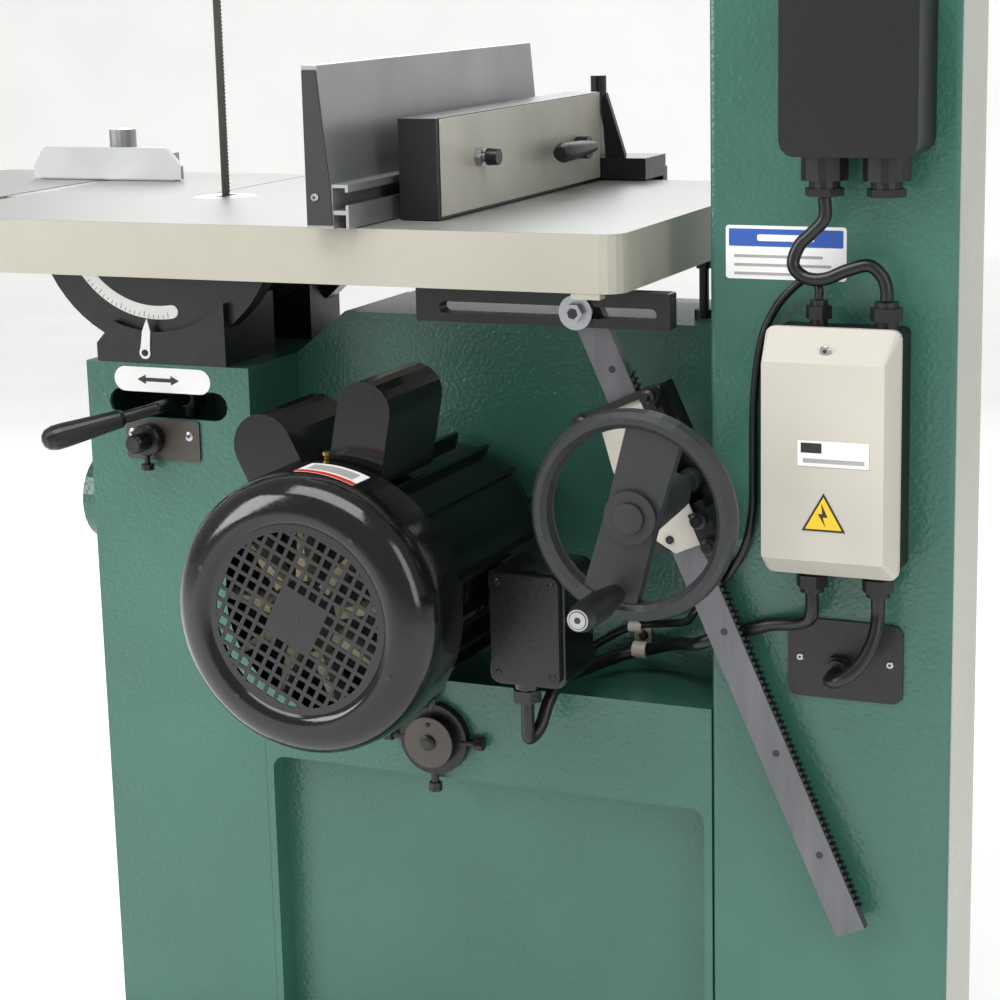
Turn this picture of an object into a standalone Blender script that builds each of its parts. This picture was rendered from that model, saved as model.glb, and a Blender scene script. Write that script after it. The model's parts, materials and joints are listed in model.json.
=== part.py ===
"""Vertical band saw with a tilting cast-iron table, seen as separate parts on real joints.

Lengths are in millimetres. X runs from the column (-) to the free end of the table (+), Y from the
operator (-) to the motor side (+), Z up from the floor. The cutting blade stands at X = 0, Y = 0, and
the empty called machine carries the whole saw so that its outer box is centred on the world's origin.
"""

from math import atan2, cos, degrees, pi, radians, sin, sqrt, tan

import bmesh
import bpy
from mathutils import Matrix, Vector

# Clearances and sheet metal.
GAP = 0.3
SHEET = 4.0

# Main sizes.
TABLE_TOP = 933.0
THROAT = 604.0
COLUMN_WIDTH = 232.0
BODY_REAR = 160.0
BOX_BACK = 54.0
BOX_FRONT = -95.0
BASE_HEIGHT = 20.0
WHEEL_RADIUS = 310.0
WHEEL_WIDTH = 32.0
WHEEL_DROP = 527.0
WHEEL_CENTRES = 1325.0
TYRE = 6.0
BLADE_WIDTH = 14.0
BLADE_THICKNESS = 1.2

# Table.
TABLE_COLUMN_END = -553.0
TABLE_FREE_END = 460.0
TABLE_FRONT = -247.0
TABLE_REAR = 258.0
TABLE_SLAB = 30.0
TABLE_SKIRT = 54.0
TABLE_PAD = 59.5
SKIRT_WALL = 14.0
TABLE_CORNER = 20.0
INSERT_RADIUS = 35.0
INSERT_THICKNESS = 3.0
SLIT_X = 25.0
SLIT_WIDTH = 2.0
MITRE_X = 242.0
MITRE_WIDTH = 19.0
MITRE_DEPTH = 9.5

# Pedestal, wheel boxes and trunnions.
PEDESTAL_LEFT = 84.0
PEDESTAL_RIGHT = -110.0
PEDESTAL_DROP = 158.0
BOX_DROP = 112.0
CHAMFER_START = -168.0
BOX_SIDE = -665.0
GEARBOX_START = 92.0
GEARBOX_END = 242.0
WINDOW_DROP = 467.0
PANEL_DROP = 570.0
PANEL_DEPTH = 28.0
UPPER_BOX_BOTTOM = 1400.0
UPPER_BOX_TOP = 2105.0
TRUNNION_RADIUS = 145.0
TRUNNION_HUB = 122.0
TRUNNION_WIDTH = 23.0
SADDLE_ARC = 125.0
TRUNNION_REAR = 151.0

# Tilt drive.
BOLT_X = -490.0
BOLT_DROP = 79.0
RACK_ANGLE = radians(24.0)
RACK_WIDTH = 30.0
RACK_LENGTH = 640.0
RACK_BACK = 176.0
RACK_THICKNESS = 11.5
BRACKET_THICKNESS = 18.0
SLOT_HEIGHT = 11.0
TILT_MAX = radians(45.0)
PINION_LINE_X = -575.0
HANDWHEEL_X = PINION_LINE_X - RACK_WIDTH / 2
HANDWHEEL_DROP = 238.0
HANDWHEEL_RADIUS = 96.0
RIM_RADIUS = 9.0
RIM_Y = 330.0
HANDLE_RADIUS = 70.0
HANDLE_ANGLE = radians(10.0)
SPOKE_ANGLE = radians(16.0)

# Motor.
MOTOR_X = -290.0
MOTOR_DROP = 341.0
MOTOR_RADIUS = 112.0
COVER_RADIUS = 133.0
MOTOR_REAR = 412.0
COVER_FRONT = 332.0

# Middle of the whole saw's outer box, seen from above.
MIDDLE_X = -198.0
MIDDLE_Y = 57.75

STEPS = 32


def clear_scene():
    for old in list(bpy.data.objects):
        bpy.data.objects.remove(old)


MATERIALS = {
    "green_paint": ((0.10, 0.24, 0.19), 0.35, 0.0),
    "cream_paint": ((0.66, 0.63, 0.52), 0.45, 0.0),
    "black_paint": ((0.012, 0.012, 0.013), 0.28, 0.0),
    "ground_iron": ((0.55, 0.56, 0.57), 0.25, 1.0),
    "cast_iron": ((0.09, 0.095, 0.10), 0.6, 0.4),
    "black_plastic": ((0.02, 0.02, 0.021), 0.45, 0.0),
    "grey_plastic": ((0.62, 0.62, 0.57), 0.45, 0.0),
    "steel": ((0.45, 0.46, 0.48), 0.35, 1.0),
    "blackened_steel": ((0.06, 0.06, 0.065), 0.4, 0.8),
    "aluminium": ((0.72, 0.73, 0.74), 0.35, 1.0),
    "rubber": ((0.015, 0.015, 0.015), 0.7, 0.0),
    "red_plastic": ((0.55, 0.02, 0.02), 0.4, 0.0),
    "green_plastic": ((0.02, 0.35, 0.08), 0.4, 0.0),
}


def material_called(name):
    found = bpy.data.materials.get(name)
    if found:
        return found
    colour, roughness, metallic = MATERIALS[name]
    made = bpy.data.materials.new(name)
    made.use_nodes = True
    shader = made.node_tree.nodes["Principled BSDF"]
    shader.inputs["Base Color"].default_value = (*colour, 1.0)
    shader.inputs["Roughness"].default_value = roughness
    shader.inputs["Metallic"].default_value = metallic
    return made


# Shapes. Each function returns a closed bmesh in millimetres.

AXES = {"X": (1, 2, 0), "Y": (0, 2, 1), "Z": (0, 1, 2)}


def point_on(along, first, second, height):
    """A point from its two coordinates across an axis and its height along that axis."""
    order = AXES[along]
    spot = [0.0, 0.0, 0.0]
    spot[order[0]] = first
    spot[order[1]] = second
    spot[order[2]] = height
    return spot


def outward(shape):
    bmesh.ops.recalc_face_normals(shape, faces=shape.faces)
    if shape.calc_volume(signed=True) < 0:
        bmesh.ops.reverse_faces(shape, faces=shape.faces)
    return shape


def prism(outline, along, low, high):
    """An outline drawn across an axis and carried along it from low to high."""
    shape = bmesh.new()
    corners = [shape.verts.new(point_on(along, a, b, low)) for a, b in outline]
    face = shape.faces.new(corners)
    grown = bmesh.ops.extrude_face_region(shape, geom=[face])["geom"]
    moved = [item for item in grown if isinstance(item, bmesh.types.BMVert)]
    bmesh.ops.translate(shape, verts=moved, vec=point_on(along, 0, 0, high - low))
    return outward(shape)


def box(x, y, z):
    """A block from its three pairs of limits."""
    return prism([(x[0], z[0]), (x[1], z[0]), (x[1], z[1]), (x[0], z[1])], "Y", y[0], y[1])


def turned(profile, along, centre, steps=STEPS):
    """A closed profile of (radius, height) points turned about an axis through centre."""
    shape = bmesh.new()
    rings = []
    for radius, height in profile:
        if radius < 1e-6:
            rings.append([shape.verts.new(point_on(along, centre[0], centre[1], height))])
            continue
        ring = []
        for step in range(steps):
            angle = 2 * pi * step / steps
            across = centre[0] + radius * cos(angle)
            up = centre[1] + radius * sin(angle)
            ring.append(shape.verts.new(point_on(along, across, up, height)))
        rings.append(ring)
    for first, second in zip(rings, rings[1:] + rings[:1]):
        bridge(shape, first, second, steps)
    return outward(shape)


def bridge(shape, first, second, steps):
    """Joins two rings of a turned shape, either of which may be a single point."""
    if len(first) == 1 and len(second) == 1:
        return
    for step in range(steps):
        after = (step + 1) % steps
        corners = [first[step % len(first)], first[after % len(first)]]
        corners += [second[after % len(second)], second[step % len(second)]]
        kept = list(dict.fromkeys(corners))
        shape.faces.new(kept)


def rod(along, centre, radius, low, high, steps=STEPS):
    return turned([(0, low), (radius, low), (radius, high), (0, high)], along, centre, steps)


def arc(centre, radius, start, end, steps):
    """Points on a circle between two angles in degrees."""
    spots = []
    for step in range(steps + 1):
        angle = radians(start + (end - start) * step / steps)
        spots.append((centre[0] + radius * cos(angle), centre[1] + radius * sin(angle)))
    return spots


def rounded(outline, radius, steps=4):
    """The outline of a convex counter-clockwise polygon with every corner rounded."""
    spots = []
    count = len(outline)
    for index, corner in enumerate(outline):
        here = Vector(corner)
        before = (Vector(outline[index - 1]) - here).normalized()
        after = (Vector(outline[(index + 1) % count]) - here).normalized()
        half = before.angle(after) / 2
        reach = radius / tan(half)
        middle = here + (before + after).normalized() * radius / sin(half)
        start = here + before * reach - middle
        turn = pi - 2 * half
        for step in range(steps + 1):
            angle = turn * step / steps
            spots.append(
                (
                    middle.x + start.x * cos(angle) - start.y * sin(angle),
                    middle.y + start.x * sin(angle) + start.y * cos(angle),
                )
            )
    return spots


def inset(outline, distance):
    """A counter-clockwise outline moved inwards by a distance."""
    spots = []
    count = len(outline)
    for index, corner in enumerate(outline):
        here = Vector(corner)
        before = (here - Vector(outline[index - 1])).normalized()
        after = (Vector(outline[(index + 1) % count]) - here).normalized()
        left = Vector((-before.y, before.x)) + Vector((-after.y, after.x))
        scale = distance / (1 + before.dot(after))
        spots.append((here.x + left.x * scale, here.y + left.y * scale))
    return spots


def rectangle(x, z):
    return [(x[0], z[0]), (x[1], z[0]), (x[1], z[1]), (x[0], z[1])]


def slot_outline(x, z, steps=6):
    """A slot with round ends between two X limits."""
    radius = (z[1] - z[0]) / 2
    middle = (z[0] + z[1]) / 2
    right = arc((x[1] - radius, middle), radius, -90, 90, steps)
    left = arc((x[0] + radius, middle), radius, 90, 270, steps)
    return right + left


def turned_by(shape, angle, along, centre):
    """The shape turned about an axis through a point given across that axis."""
    pivot = Vector(point_on(along, centre[0], centre[1], 0))
    turn = Matrix.Translation(pivot) @ Matrix.Rotation(angle, 4, along) @ Matrix.Translation(-pivot)
    bmesh.ops.transform(shape, matrix=turn, verts=shape.verts)
    return shape


def shifted(shape, move):
    bmesh.ops.translate(shape, verts=shape.verts, vec=move)
    return shape


# Objects.

MACHINE = {}


def mesh_of(shape, name):
    mesh = bpy.data.meshes.new(name)
    shape.to_mesh(mesh)
    shape.free()
    return mesh


def joined(target, shape, operation):
    """Adds or removes a shape with a Boolean, and leaves the result as the target's own mesh."""
    tool = bpy.data.objects.new("tool", mesh_of(shape, "tool"))
    bpy.context.scene.collection.objects.link(tool)
    step = target.modifiers.new("step", "BOOLEAN")
    step.operation = operation
    step.object = tool
    graph = bpy.context.evaluated_depsgraph_get()
    result = bpy.data.meshes.new_from_object(target.evaluated_get(graph))
    target.modifiers.clear()
    target.data = result
    bpy.data.objects.remove(tool)


def part(name, material, base, add=(), cut=(), pivot=(0.0, 0.0, 0.0)):
    """One sub-part: its base shape, with shapes added and cut, and its origin at the pivot."""
    item = bpy.data.objects.new(name, mesh_of(base, name))
    bpy.context.scene.collection.objects.link(item)
    for shape in add:
        joined(item, shape, "UNION")
    for shape in cut:
        joined(item, shape, "DIFFERENCE")
    mesh = item.data
    mesh.name = name
    mesh.transform(Matrix.Scale(0.001, 4) @ Matrix.Translation(-Vector(pivot)))
    mesh.materials.clear()
    mesh.materials.append(material_called(material))
    mesh.shade_smooth()
    mesh.set_sharp_from_angle(angle=radians(32))
    item.parent = MACHINE["empty"]
    item.location = Vector(pivot) * 0.001
    return item


def smooth_route(points, spacing):
    """A Catmull-Rom curve through hand-chosen points, read at an even spacing."""
    knots = [Vector(spot) for spot in points]
    knots = [2 * knots[0] - knots[1]] + knots + [2 * knots[-1] - knots[-2]]
    fine = []
    for a, b, c, d in zip(knots, knots[1:], knots[2:], knots[3:]):
        for step in range(20):
            t = step / 20
            fine.append(
                0.5
                * (
                    2 * b
                    + (c - a) * t
                    + (2 * a - 5 * b + 4 * c - d) * t * t
                    + (3 * b - a - 3 * c + d) * t ** 3
                )
            )
    fine.append(knots[-2])
    even = [fine[0]]
    travelled = 0.0
    for before, after in zip(fine, fine[1:]):
        travelled += (after - before).length
        if travelled >= spacing:
            even.append(after)
            travelled = 0.0
    if (even[-1] - fine[-1]).length < spacing / 2:
        even.pop()
    even.append(fine[-1])
    return even


def cable(name, points, diameter):
    """A round cable as a bevelled curve through its route."""
    route = smooth_route(points, 2.2 * diameter)
    curve = bpy.data.curves.new(name, "CURVE")
    curve.dimensions = "3D"
    curve.bevel_depth = diameter / 2 * 0.001
    curve.bevel_resolution = 2
    curve.use_fill_caps = True
    spline = curve.splines.new("POLY")
    spline.points.add(len(route) - 1)
    for knot, spot in zip(spline.points, route):
        knot.co = (*(spot * 0.001), 1.0)
    item = bpy.data.objects.new(name, curve)
    bpy.context.scene.collection.objects.link(item)
    curve.materials.append(material_called("rubber"))
    item.parent = MACHINE["empty"]
    return item


# Places worked out from the driving sizes.

COLUMN_FACE = -THROAT
COLUMN_OUTER = COLUMN_FACE - COLUMN_WIDTH
WHEEL_X = -(BLADE_THICKNESS / 2 + GAP + WHEEL_RADIUS)
RETURN_X = 2 * WHEEL_X
LOWER_Z = TABLE_TOP - WHEEL_DROP
UPPER_Z = LOWER_Z + WHEEL_CENTRES
PEDESTAL_TOP = TABLE_TOP - PEDESTAL_DROP
BOX_TOP = TABLE_TOP - BOX_DROP
FLOOR_LINE = BASE_HEIGHT + GAP
MOTOR_Z = TABLE_TOP - MOTOR_DROP
MOTOR_AXIS = (MOTOR_X, MOTOR_Z)
BOLT_Z = TABLE_TOP - BOLT_DROP
HANDWHEEL_Z = TABLE_TOP - HANDWHEEL_DROP
HANDWHEEL_AXIS = (HANDWHEEL_X, HANDWHEEL_Z)
TILT_AXIS = (0.0, TABLE_TOP)
RACK_FRONT = RACK_BACK + RACK_THICKNESS
DUST_Y = -12.0
DUST_Z = TABLE_TOP - 345.0
DUST_LENGTH = 98.0
BRACKET_BACK = RACK_FRONT + 2.0
BRACKET_FRONT = BRACKET_BACK + BRACKET_THICKNESS


def base_plate():
    x = (COLUMN_OUTER - 20, PEDESTAL_LEFT + 40)
    y = (BOX_FRONT - 55, BODY_REAR + 40)
    plate = prism(rounded(rectangle(x, y), 15), "Z", 0, BASE_HEIGHT)
    part("base_plate", "green_paint", plate)


def column():
    outer = rounded(
        [
            (COLUMN_OUTER, BOX_BACK + GAP),
            (COLUMN_FACE, BOX_BACK + GAP),
            (COLUMN_FACE, BODY_REAR),
            (COLUMN_OUTER, BODY_REAR),
        ],
        5,
        3,
    )
    top = UPPER_BOX_TOP - 25
    body = prism(outer, "Z", FLOOR_LINE, top)
    part("column", "green_paint", body, cut=[prism(inset(outer, SHEET), "Z", FLOOR_LINE - 10, top - SHEET)])


def lower_box_outline():
    return [
        (BOX_SIDE, FLOOR_LINE),
        (PEDESTAL_LEFT, FLOOR_LINE),
        (PEDESTAL_LEFT, PEDESTAL_TOP),
        (PEDESTAL_RIGHT, PEDESTAL_TOP),
        (CHAMFER_START, BOX_TOP),
        (BOX_SIDE, BOX_TOP),
    ]


def blade_passage(x, z):
    return box((x - 12, x + 12), (-20, 20), (z - 20, z + 20))


def lower_wheel_box():
    outline = lower_box_outline()
    tray = prism(outline, "Y", BOX_FRONT, BOX_BACK)
    hollow = prism(inset(outline, SHEET), "Y", BOX_FRONT - 10, BOX_BACK - SHEET)
    cuts = [
        hollow,
        blade_passage(0, PEDESTAL_TOP),
        blade_passage(RETURN_X, BOX_TOP),
        rod("Y", (WHEEL_X, LOWER_Z), 26, BOX_BACK - 20, BOX_BACK + 20, 24),
        rod("Y", MOTOR_AXIS, 62, BOX_BACK - 20, BOX_BACK + 20, 24),
        rod("X", (DUST_Y, DUST_Z), 45, PEDESTAL_LEFT - 20, PEDESTAL_LEFT + 20, 24),
    ]
    part("lower_wheel_box", "green_paint", tray, cut=cuts)


def pedestal():
    low = BOX_BACK + GAP
    shell = box((PEDESTAL_RIGHT, PEDESTAL_LEFT), (low, BODY_REAR), (FLOOR_LINE, PEDESTAL_TOP))
    hollow = box(
        (PEDESTAL_RIGHT + SHEET, PEDESTAL_LEFT - SHEET),
        (low + SHEET, BODY_REAR - SHEET),
        (FLOOR_LINE - 10, PEDESTAL_TOP - SHEET),
    )
    outline = slot_outline((-84, 58), (TABLE_TOP - 215, TABLE_TOP - 185))
    slot = prism(outline, "Y", BODY_REAR - 20, BODY_REAR + 10)
    part("pedestal", "green_paint", shell, cut=[hollow, slot])


def rear_panel():
    left = COLUMN_FACE + GAP
    right = PEDESTAL_RIGHT - GAP
    low = BOX_BACK + GAP
    top = TABLE_TOP - WINDOW_DROP
    panel_top = TABLE_TOP - PANEL_DROP
    shell = box((left, right), (low, BODY_REAR), (FLOOR_LINE, top))
    recess = prism(
        rounded(rectangle((left + 8, right - 8), (FLOOR_LINE - 60, panel_top)), 14, 4),
        "Y",
        BODY_REAR - PANEL_DEPTH,
        BODY_REAR + 10,
    )
    hollow = box(
        (left + SHEET, right - SHEET),
        (low + SHEET, BODY_REAR - PANEL_DEPTH - SHEET),
        (FLOOR_LINE - 10, top - SHEET),
    )
    shaft = rod("Y", (WHEEL_X, LOWER_Z), 26, low - 5, BODY_REAR + 5, 24)
    part("rear_panel", "green_paint", shell, cut=[recess, hollow, shaft])


def upper_box_outline():
    left = COLUMN_OUTER
    right = PEDESTAL_LEFT
    corner = 150
    outline = [(left, UPPER_BOX_BOTTOM), (right, UPPER_BOX_BOTTOM), (right, UPPER_BOX_TOP - corner)]
    outline += arc((right - corner, UPPER_BOX_TOP - corner), corner, 10, 90, 8)
    outline += arc((left + corner, UPPER_BOX_TOP - corner), corner, 90, 170, 8)
    outline.append((left, UPPER_BOX_TOP - corner))
    return outline


def upper_wheel_box():
    outline = upper_box_outline()
    tray = prism(outline, "Y", BOX_FRONT, BOX_BACK)
    hollow = prism(inset(outline, SHEET), "Y", BOX_FRONT - 10, BOX_BACK - SHEET)
    window = box((WHEEL_X - 45, WHEEL_X + 45), (BOX_BACK - 20, BOX_BACK + 20), (UPPER_Z - 70, UPPER_Z + 70))
    post = box((-36, 26), (-34, 47), (UPPER_BOX_BOTTOM - 20, UPPER_BOX_BOTTOM + 20))
    returning = blade_passage(RETURN_X, UPPER_BOX_BOTTOM)
    part("upper_wheel_box", "green_paint", tray, cut=[hollow, window, post, returning])


def return_guard():
    outer = rectangle((RETURN_X - 28, RETURN_X + 14), (-45, BOX_BACK))
    shell = prism(outer, "Z", BOX_TOP + GAP, UPPER_BOX_BOTTOM - GAP)
    hollow = prism(inset(outer, 2.5), "Z", BOX_TOP - 10, UPPER_BOX_BOTTOM + 10)
    part("blade_return_guard", "green_paint", shell, cut=[hollow])


def dust_port():
    low = PEDESTAL_LEFT + GAP
    profile = [(47, low), (58, low), (58, low + 4), (50, low + 4), (50, low + DUST_LENGTH), (47, low + DUST_LENGTH)]
    part("dust_port", "green_paint", turned(profile, "X", (DUST_Y, DUST_Z)))


# Wheels, blade and doors.


def band_wheel(name, z, pulley):
    half = WHEEL_WIDTH / 2
    rim = WHEEL_RADIUS - TYRE - GAP
    profile = [
        (16, -half - 8),
        (52, -half - 8),
        (56, -6),
        (rim - 26, -5),
        (rim - 16, -half),
        (rim, -half),
        (rim, half),
        (rim - 16, half),
        (rim - 26, 5),
        (56, 6),
        (52, half + 4),
        (16, half + 4),
    ]
    base = turned(profile, "Y", (WHEEL_X, z), 48)
    windows = []
    for index in range(5):
        angle = 2 * pi * index / 5
        spot = (WHEEL_X + 170 * cos(angle), z + 170 * sin(angle))
        windows.append(rod("Y", spot, 62, -30, 30, 16))
    add = []
    if pulley:
        add.append(turned(pulley, "Y", (WHEEL_X, z), 32))
    part(name, "cast_iron", base, add=add, cut=windows, pivot=(WHEEL_X, 0, z))


def tyre(name, z):
    half = WHEEL_WIDTH / 2 - 1
    inner = WHEEL_RADIUS - TYRE
    profile = [(inner, -half), (WHEEL_RADIUS - 0.6, -half), (WHEEL_RADIUS - 0.2, 0)]
    profile += [(WHEEL_RADIUS - 0.6, half), (inner, half)]
    part(name, "rubber", turned(profile, "Y", (WHEEL_X, z), 48), pivot=(WHEEL_X, 0, z))


PULLEY_RADIUS = 105.0
MOTOR_PULLEY_RADIUS = 46.0
BELT_Y = 36.0
BELT_HALF = 8.0


def lower_wheel():
    low = WHEEL_WIDTH / 2 + 3
    pulley = [
        (16, low),
        (PULLEY_RADIUS - 6, low),
        (PULLEY_RADIUS + 1, low + 3),
        (PULLEY_RADIUS - 6, BELT_Y - BELT_HALF + 1),
        (PULLEY_RADIUS - 6, BELT_Y + BELT_HALF - 2),
        (16, BELT_Y + BELT_HALF - 2),
    ]
    band_wheel("lower_wheel", LOWER_Z, pulley)


def wheel_shaft():
    """The stub shaft of the lower wheel, with its adjusting disc on a round boss behind."""
    profile = [
        (0, -34),
        (15.7, -34),
        (15.7, BOX_BACK - 2),
        (25, BOX_BACK - 2),
        (25, BODY_REAR + GAP),
        (37, BODY_REAR + GAP),
        (37, BODY_REAR + 11),
        (27, BODY_REAR + 11),
        (27, BODY_REAR + 22),
        (0, BODY_REAR + 22),
    ]
    spot = (WHEEL_X, LOWER_Z)
    add = []
    for index in range(4):
        angle = pi / 2 * index
        start = 30
        bolt = rod("X", (BODY_REAR + 8, LOWER_Z), 4, WHEEL_X + start, WHEEL_X + 52, 12)
        head = rod("X", (BODY_REAR + 8, LOWER_Z), 7, WHEEL_X + 46, WHEEL_X + 55, 6)
        add += [turned_by(bolt, angle, "Y", spot), turned_by(head, angle, "Y", spot)]
    part("lower_wheel_shaft", "steel", turned(profile, "Y", spot, 24), add=add)


def upper_carriage():
    """The sliding block that carries the upper wheel's shaft."""
    depth = (BOX_BACK - 28, BOX_BACK - SHEET - GAP)
    block = box((WHEEL_X - 40, WHEEL_X + 40), depth, (UPPER_Z - 60, UPPER_Z + 60))
    shaft = rod("Y", (WHEEL_X, UPPER_Z), 15.7, -34, BOX_BACK - 20, 24)
    lug = box((WHEEL_X - 14, WHEEL_X + 14), (BOX_BACK - 26, BOX_BACK + 26), (UPPER_Z - 40, UPPER_Z - 12))
    part("upper_wheel_carriage", "cast_iron", block, add=[shaft, lug], pivot=(WHEEL_X, 0, UPPER_Z))


def tension_handwheel():
    """Handwheel and screw that raise the upper wheel, under the upper box behind it."""
    spot = (WHEEL_X, BOX_BACK + 14)
    low = UPPER_BOX_BOTTOM - 40
    profile = [
        (0, low - 14),
        (12, low - 14),
        (14, low - 3),
        (50, low - 3),
        (54, low - 8),
        (60, low - 8),
        (63, low),
        (60, low + 8),
        (54, low + 8),
        (50, low + 3),
        (14, low + 3),
        (9, low + 12),
        (9, UPPER_Z - 56),
        (0, UPPER_Z - 56),
    ]
    part("tension_handwheel", "black_plastic", turned(profile, "Z", spot), pivot=(*spot, low))


def blade():
    """The endless band: two straight runs and half a turn about each wheel."""
    outer_radius = WHEEL_RADIUS + GAP + BLADE_THICKNESS

    def loop(radius):
        upper = arc((WHEEL_X, UPPER_Z), radius, 0, 180, 36)
        lower = arc((WHEEL_X, LOWER_Z), radius, 180, 360, 36)
        return upper + lower

    half = BLADE_WIDTH / 2
    band = prism(loop(outer_radius), "Y", -half, half)
    part("blade", "steel", band, cut=[prism(loop(WHEEL_RADIUS + GAP), "Y", -half - 5, half + 5)])


def drive_belt():
    """V-belt from the motor pulley to the wheel pulley, closed around both with clearance."""
    span = Vector((MOTOR_X - WHEEL_X, MOTOR_Z - LOWER_Z))
    distance = span.length
    heading = degrees(atan2(span.y, span.x))

    def loop(extra):
        big = PULLEY_RADIUS - 5 + extra
        small = MOTOR_PULLEY_RADIUS - 5 + extra
        lean = degrees(pi / 2 - (big - small) / distance)
        lean = degrees(pi / 2) - degrees((big - small) / distance)
        around_small = arc(MOTOR_AXIS, small, heading - lean, heading + lean, 12)
        around_big = arc((WHEEL_X, LOWER_Z), big, heading + lean, heading + 360 - lean, 20)
        return around_small + around_big

    low = BELT_Y - BELT_HALF + 2
    high = BELT_Y + BELT_HALF - 3
    part("drive_belt", "rubber", prism(loop(7), "Y", low, high), cut=[prism(loop(0), "Y", low - 5, high + 5)])


HINGE_SET = 8.0


def door(name, outline, hinge_x):
    """A pressed door that closes a wheel box, with a flange all round."""
    low = BOX_FRONT - 34
    high = BOX_FRONT - GAP
    shell = prism(outline, "Y", low, high)
    hollow = prism(inset(outline, 3), "Y", low + 3, high + 10)
    bottom = min(height for across, height in outline)
    top = max(height for across, height in outline)
    knuckles = []
    for z in (bottom + 90, (bottom + top) / 2 - 30, top - 220):
        knuckles.append(rod("Z", (hinge_x, high - HINGE_SET), 6, z, z + 70, 12))
    part(name, "green_paint", shell, add=knuckles, cut=[hollow], pivot=(hinge_x, high - HINGE_SET, 0))


def doors():
    lower = inset(lower_box_outline(), 1)
    upper = inset(upper_box_outline(), 1)
    door("lower_door", lower, BOX_SIDE + 1)
    door("upper_door", upper, COLUMN_OUTER + 1)


# Blade guides.

GUIDE_Z = 230.0
POST_Y = 32.0


def guide_post():
    low = TABLE_TOP + GUIDE_Z + 28 + GAP
    post = box((-16, 16), (POST_Y - 13, POST_Y + 13), (low, UPPER_BOX_BOTTOM + 190))
    part("guide_post", "steel", post, pivot=(0, POST_Y, TABLE_TOP + GUIDE_Z))


def guide_shapes(z):
    """Guide blocks each side of the blade and a thrust bearing behind it, on a bracket."""
    bracket = box((-34, 34), (12, POST_Y + 13), (z - 14, z + 14))
    back = rod("Y", (0, z), 14, BLADE_WIDTH / 2 + 0.6, 14, 20)
    arms = []
    for direction in (-1, 1):
        near = direction * (BLADE_THICKNESS / 2 + 0.4)
        far = direction * 34
        reach = (min(near, far), max(near, far))
        arms.append(box(reach, (-5, 6), (z - 8, z + 8)))
        outside = (min(direction * 20, far), max(direction * 20, far))
        arms.append(box(outside, (-5, 14), (z - 12, z + 12)))
    return bracket, [back] + arms


def upper_guides():
    z = TABLE_TOP + GUIDE_Z + 14
    bracket, add = guide_shapes(z)
    plate = box((-30, -26), (-25, 13), (z - 10, UPPER_BOX_BOTTOM - 20))
    front = box((-29, 16), (-25, -21.5), (z - 9, UPPER_BOX_BOTTOM - 21))
    add += [plate, front]
    part("upper_guides", "blackened_steel", bracket, add=add, pivot=(0, POST_Y, TABLE_TOP + GUIDE_Z))


def lower_guides():
    z = TABLE_TOP - 120
    bracket, add = guide_shapes(z)
    foot = box((-30, 30), (POST_Y, BOX_BACK - 1), (PEDESTAL_TOP + GAP, z + 12))
    part("lower_guides", "blackened_steel", bracket, add=add + [foot])


def guide_handwheel():
    """Small handwheel that raises the guide post, on the free side of the upper box."""
    z = UPPER_BOX_BOTTOM + 90
    x = PEDESTAL_LEFT + GAP
    profile = [(0, x), (14, x), (14, x + 18), (40, x + 20), (40, x + 32), (14, x + 34), (14, x + 40), (0, x + 40)]
    part("guide_handwheel", "black_plastic", turned(profile, "X", (POST_Y, z), 24), pivot=(x, POST_Y, z))


# Table group.


def table():
    outline = rounded(
        [
            (TABLE_COLUMN_END, TABLE_FRONT),
            (TABLE_FREE_END, TABLE_FRONT),
            (TABLE_FREE_END, TABLE_REAR),
            (TABLE_COLUMN_END, TABLE_REAR),
        ],
        TABLE_CORNER,
        4,
    )
    inner = inset(outline, SKIRT_WALL)
    body = prism(outline, "Z", TABLE_TOP - TABLE_SKIRT, TABLE_TOP)
    pad = box(
        (TABLE_COLUMN_END + TABLE_CORNER, TABLE_COLUMN_END + 48),
        (TABLE_REAR - SKIRT_WALL, TABLE_REAR - 0.5),
        (TABLE_TOP - TABLE_PAD, TABLE_TOP - TABLE_SKIRT + 10),
    )
    hollow = prism(inner, "Z", TABLE_TOP - TABLE_SKIRT - 20, TABLE_TOP - TABLE_SLAB)
    seat = rod("Z", (0, 0), INSERT_RADIUS + GAP, TABLE_TOP - INSERT_THICKNESS - GAP, TABLE_TOP + 5)
    throat = rod("Z", (0, 0), INSERT_RADIUS - 5, TABLE_TOP - TABLE_SLAB - 5, TABLE_TOP, 24)
    slit = box(
        (SLIT_X - SLIT_WIDTH / 2, SLIT_X + SLIT_WIDTH / 2),
        (TABLE_FRONT - 10, 0),
        (TABLE_TOP - TABLE_SKIRT - 10, TABLE_TOP + 5),
    )
    mitre = box(
        (MITRE_X - MITRE_WIDTH / 2, MITRE_X + MITRE_WIDTH / 2),
        (TABLE_FRONT - 10, TABLE_REAR + 10),
        (TABLE_TOP - MITRE_DEPTH, TABLE_TOP + 5),
    )
    tee = box(
        (MITRE_X - MITRE_WIDTH / 2 - 3, MITRE_X + MITRE_WIDTH / 2 + 3),
        (TABLE_FRONT - 10, TABLE_REAR + 10),
        (TABLE_TOP - MITRE_DEPTH - 1, TABLE_TOP - MITRE_DEPTH + 3),
    )
    relief = box((-44, 44), (-13, 13), (TABLE_TOP - TABLE_SLAB - 5, TABLE_TOP - 9))
    cuts = [hollow, seat, throat, relief, slit, mitre, tee]
    part("table", "cream_paint", body, add=[pad], cut=cuts, pivot=(0, 0, TABLE_TOP))


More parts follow.
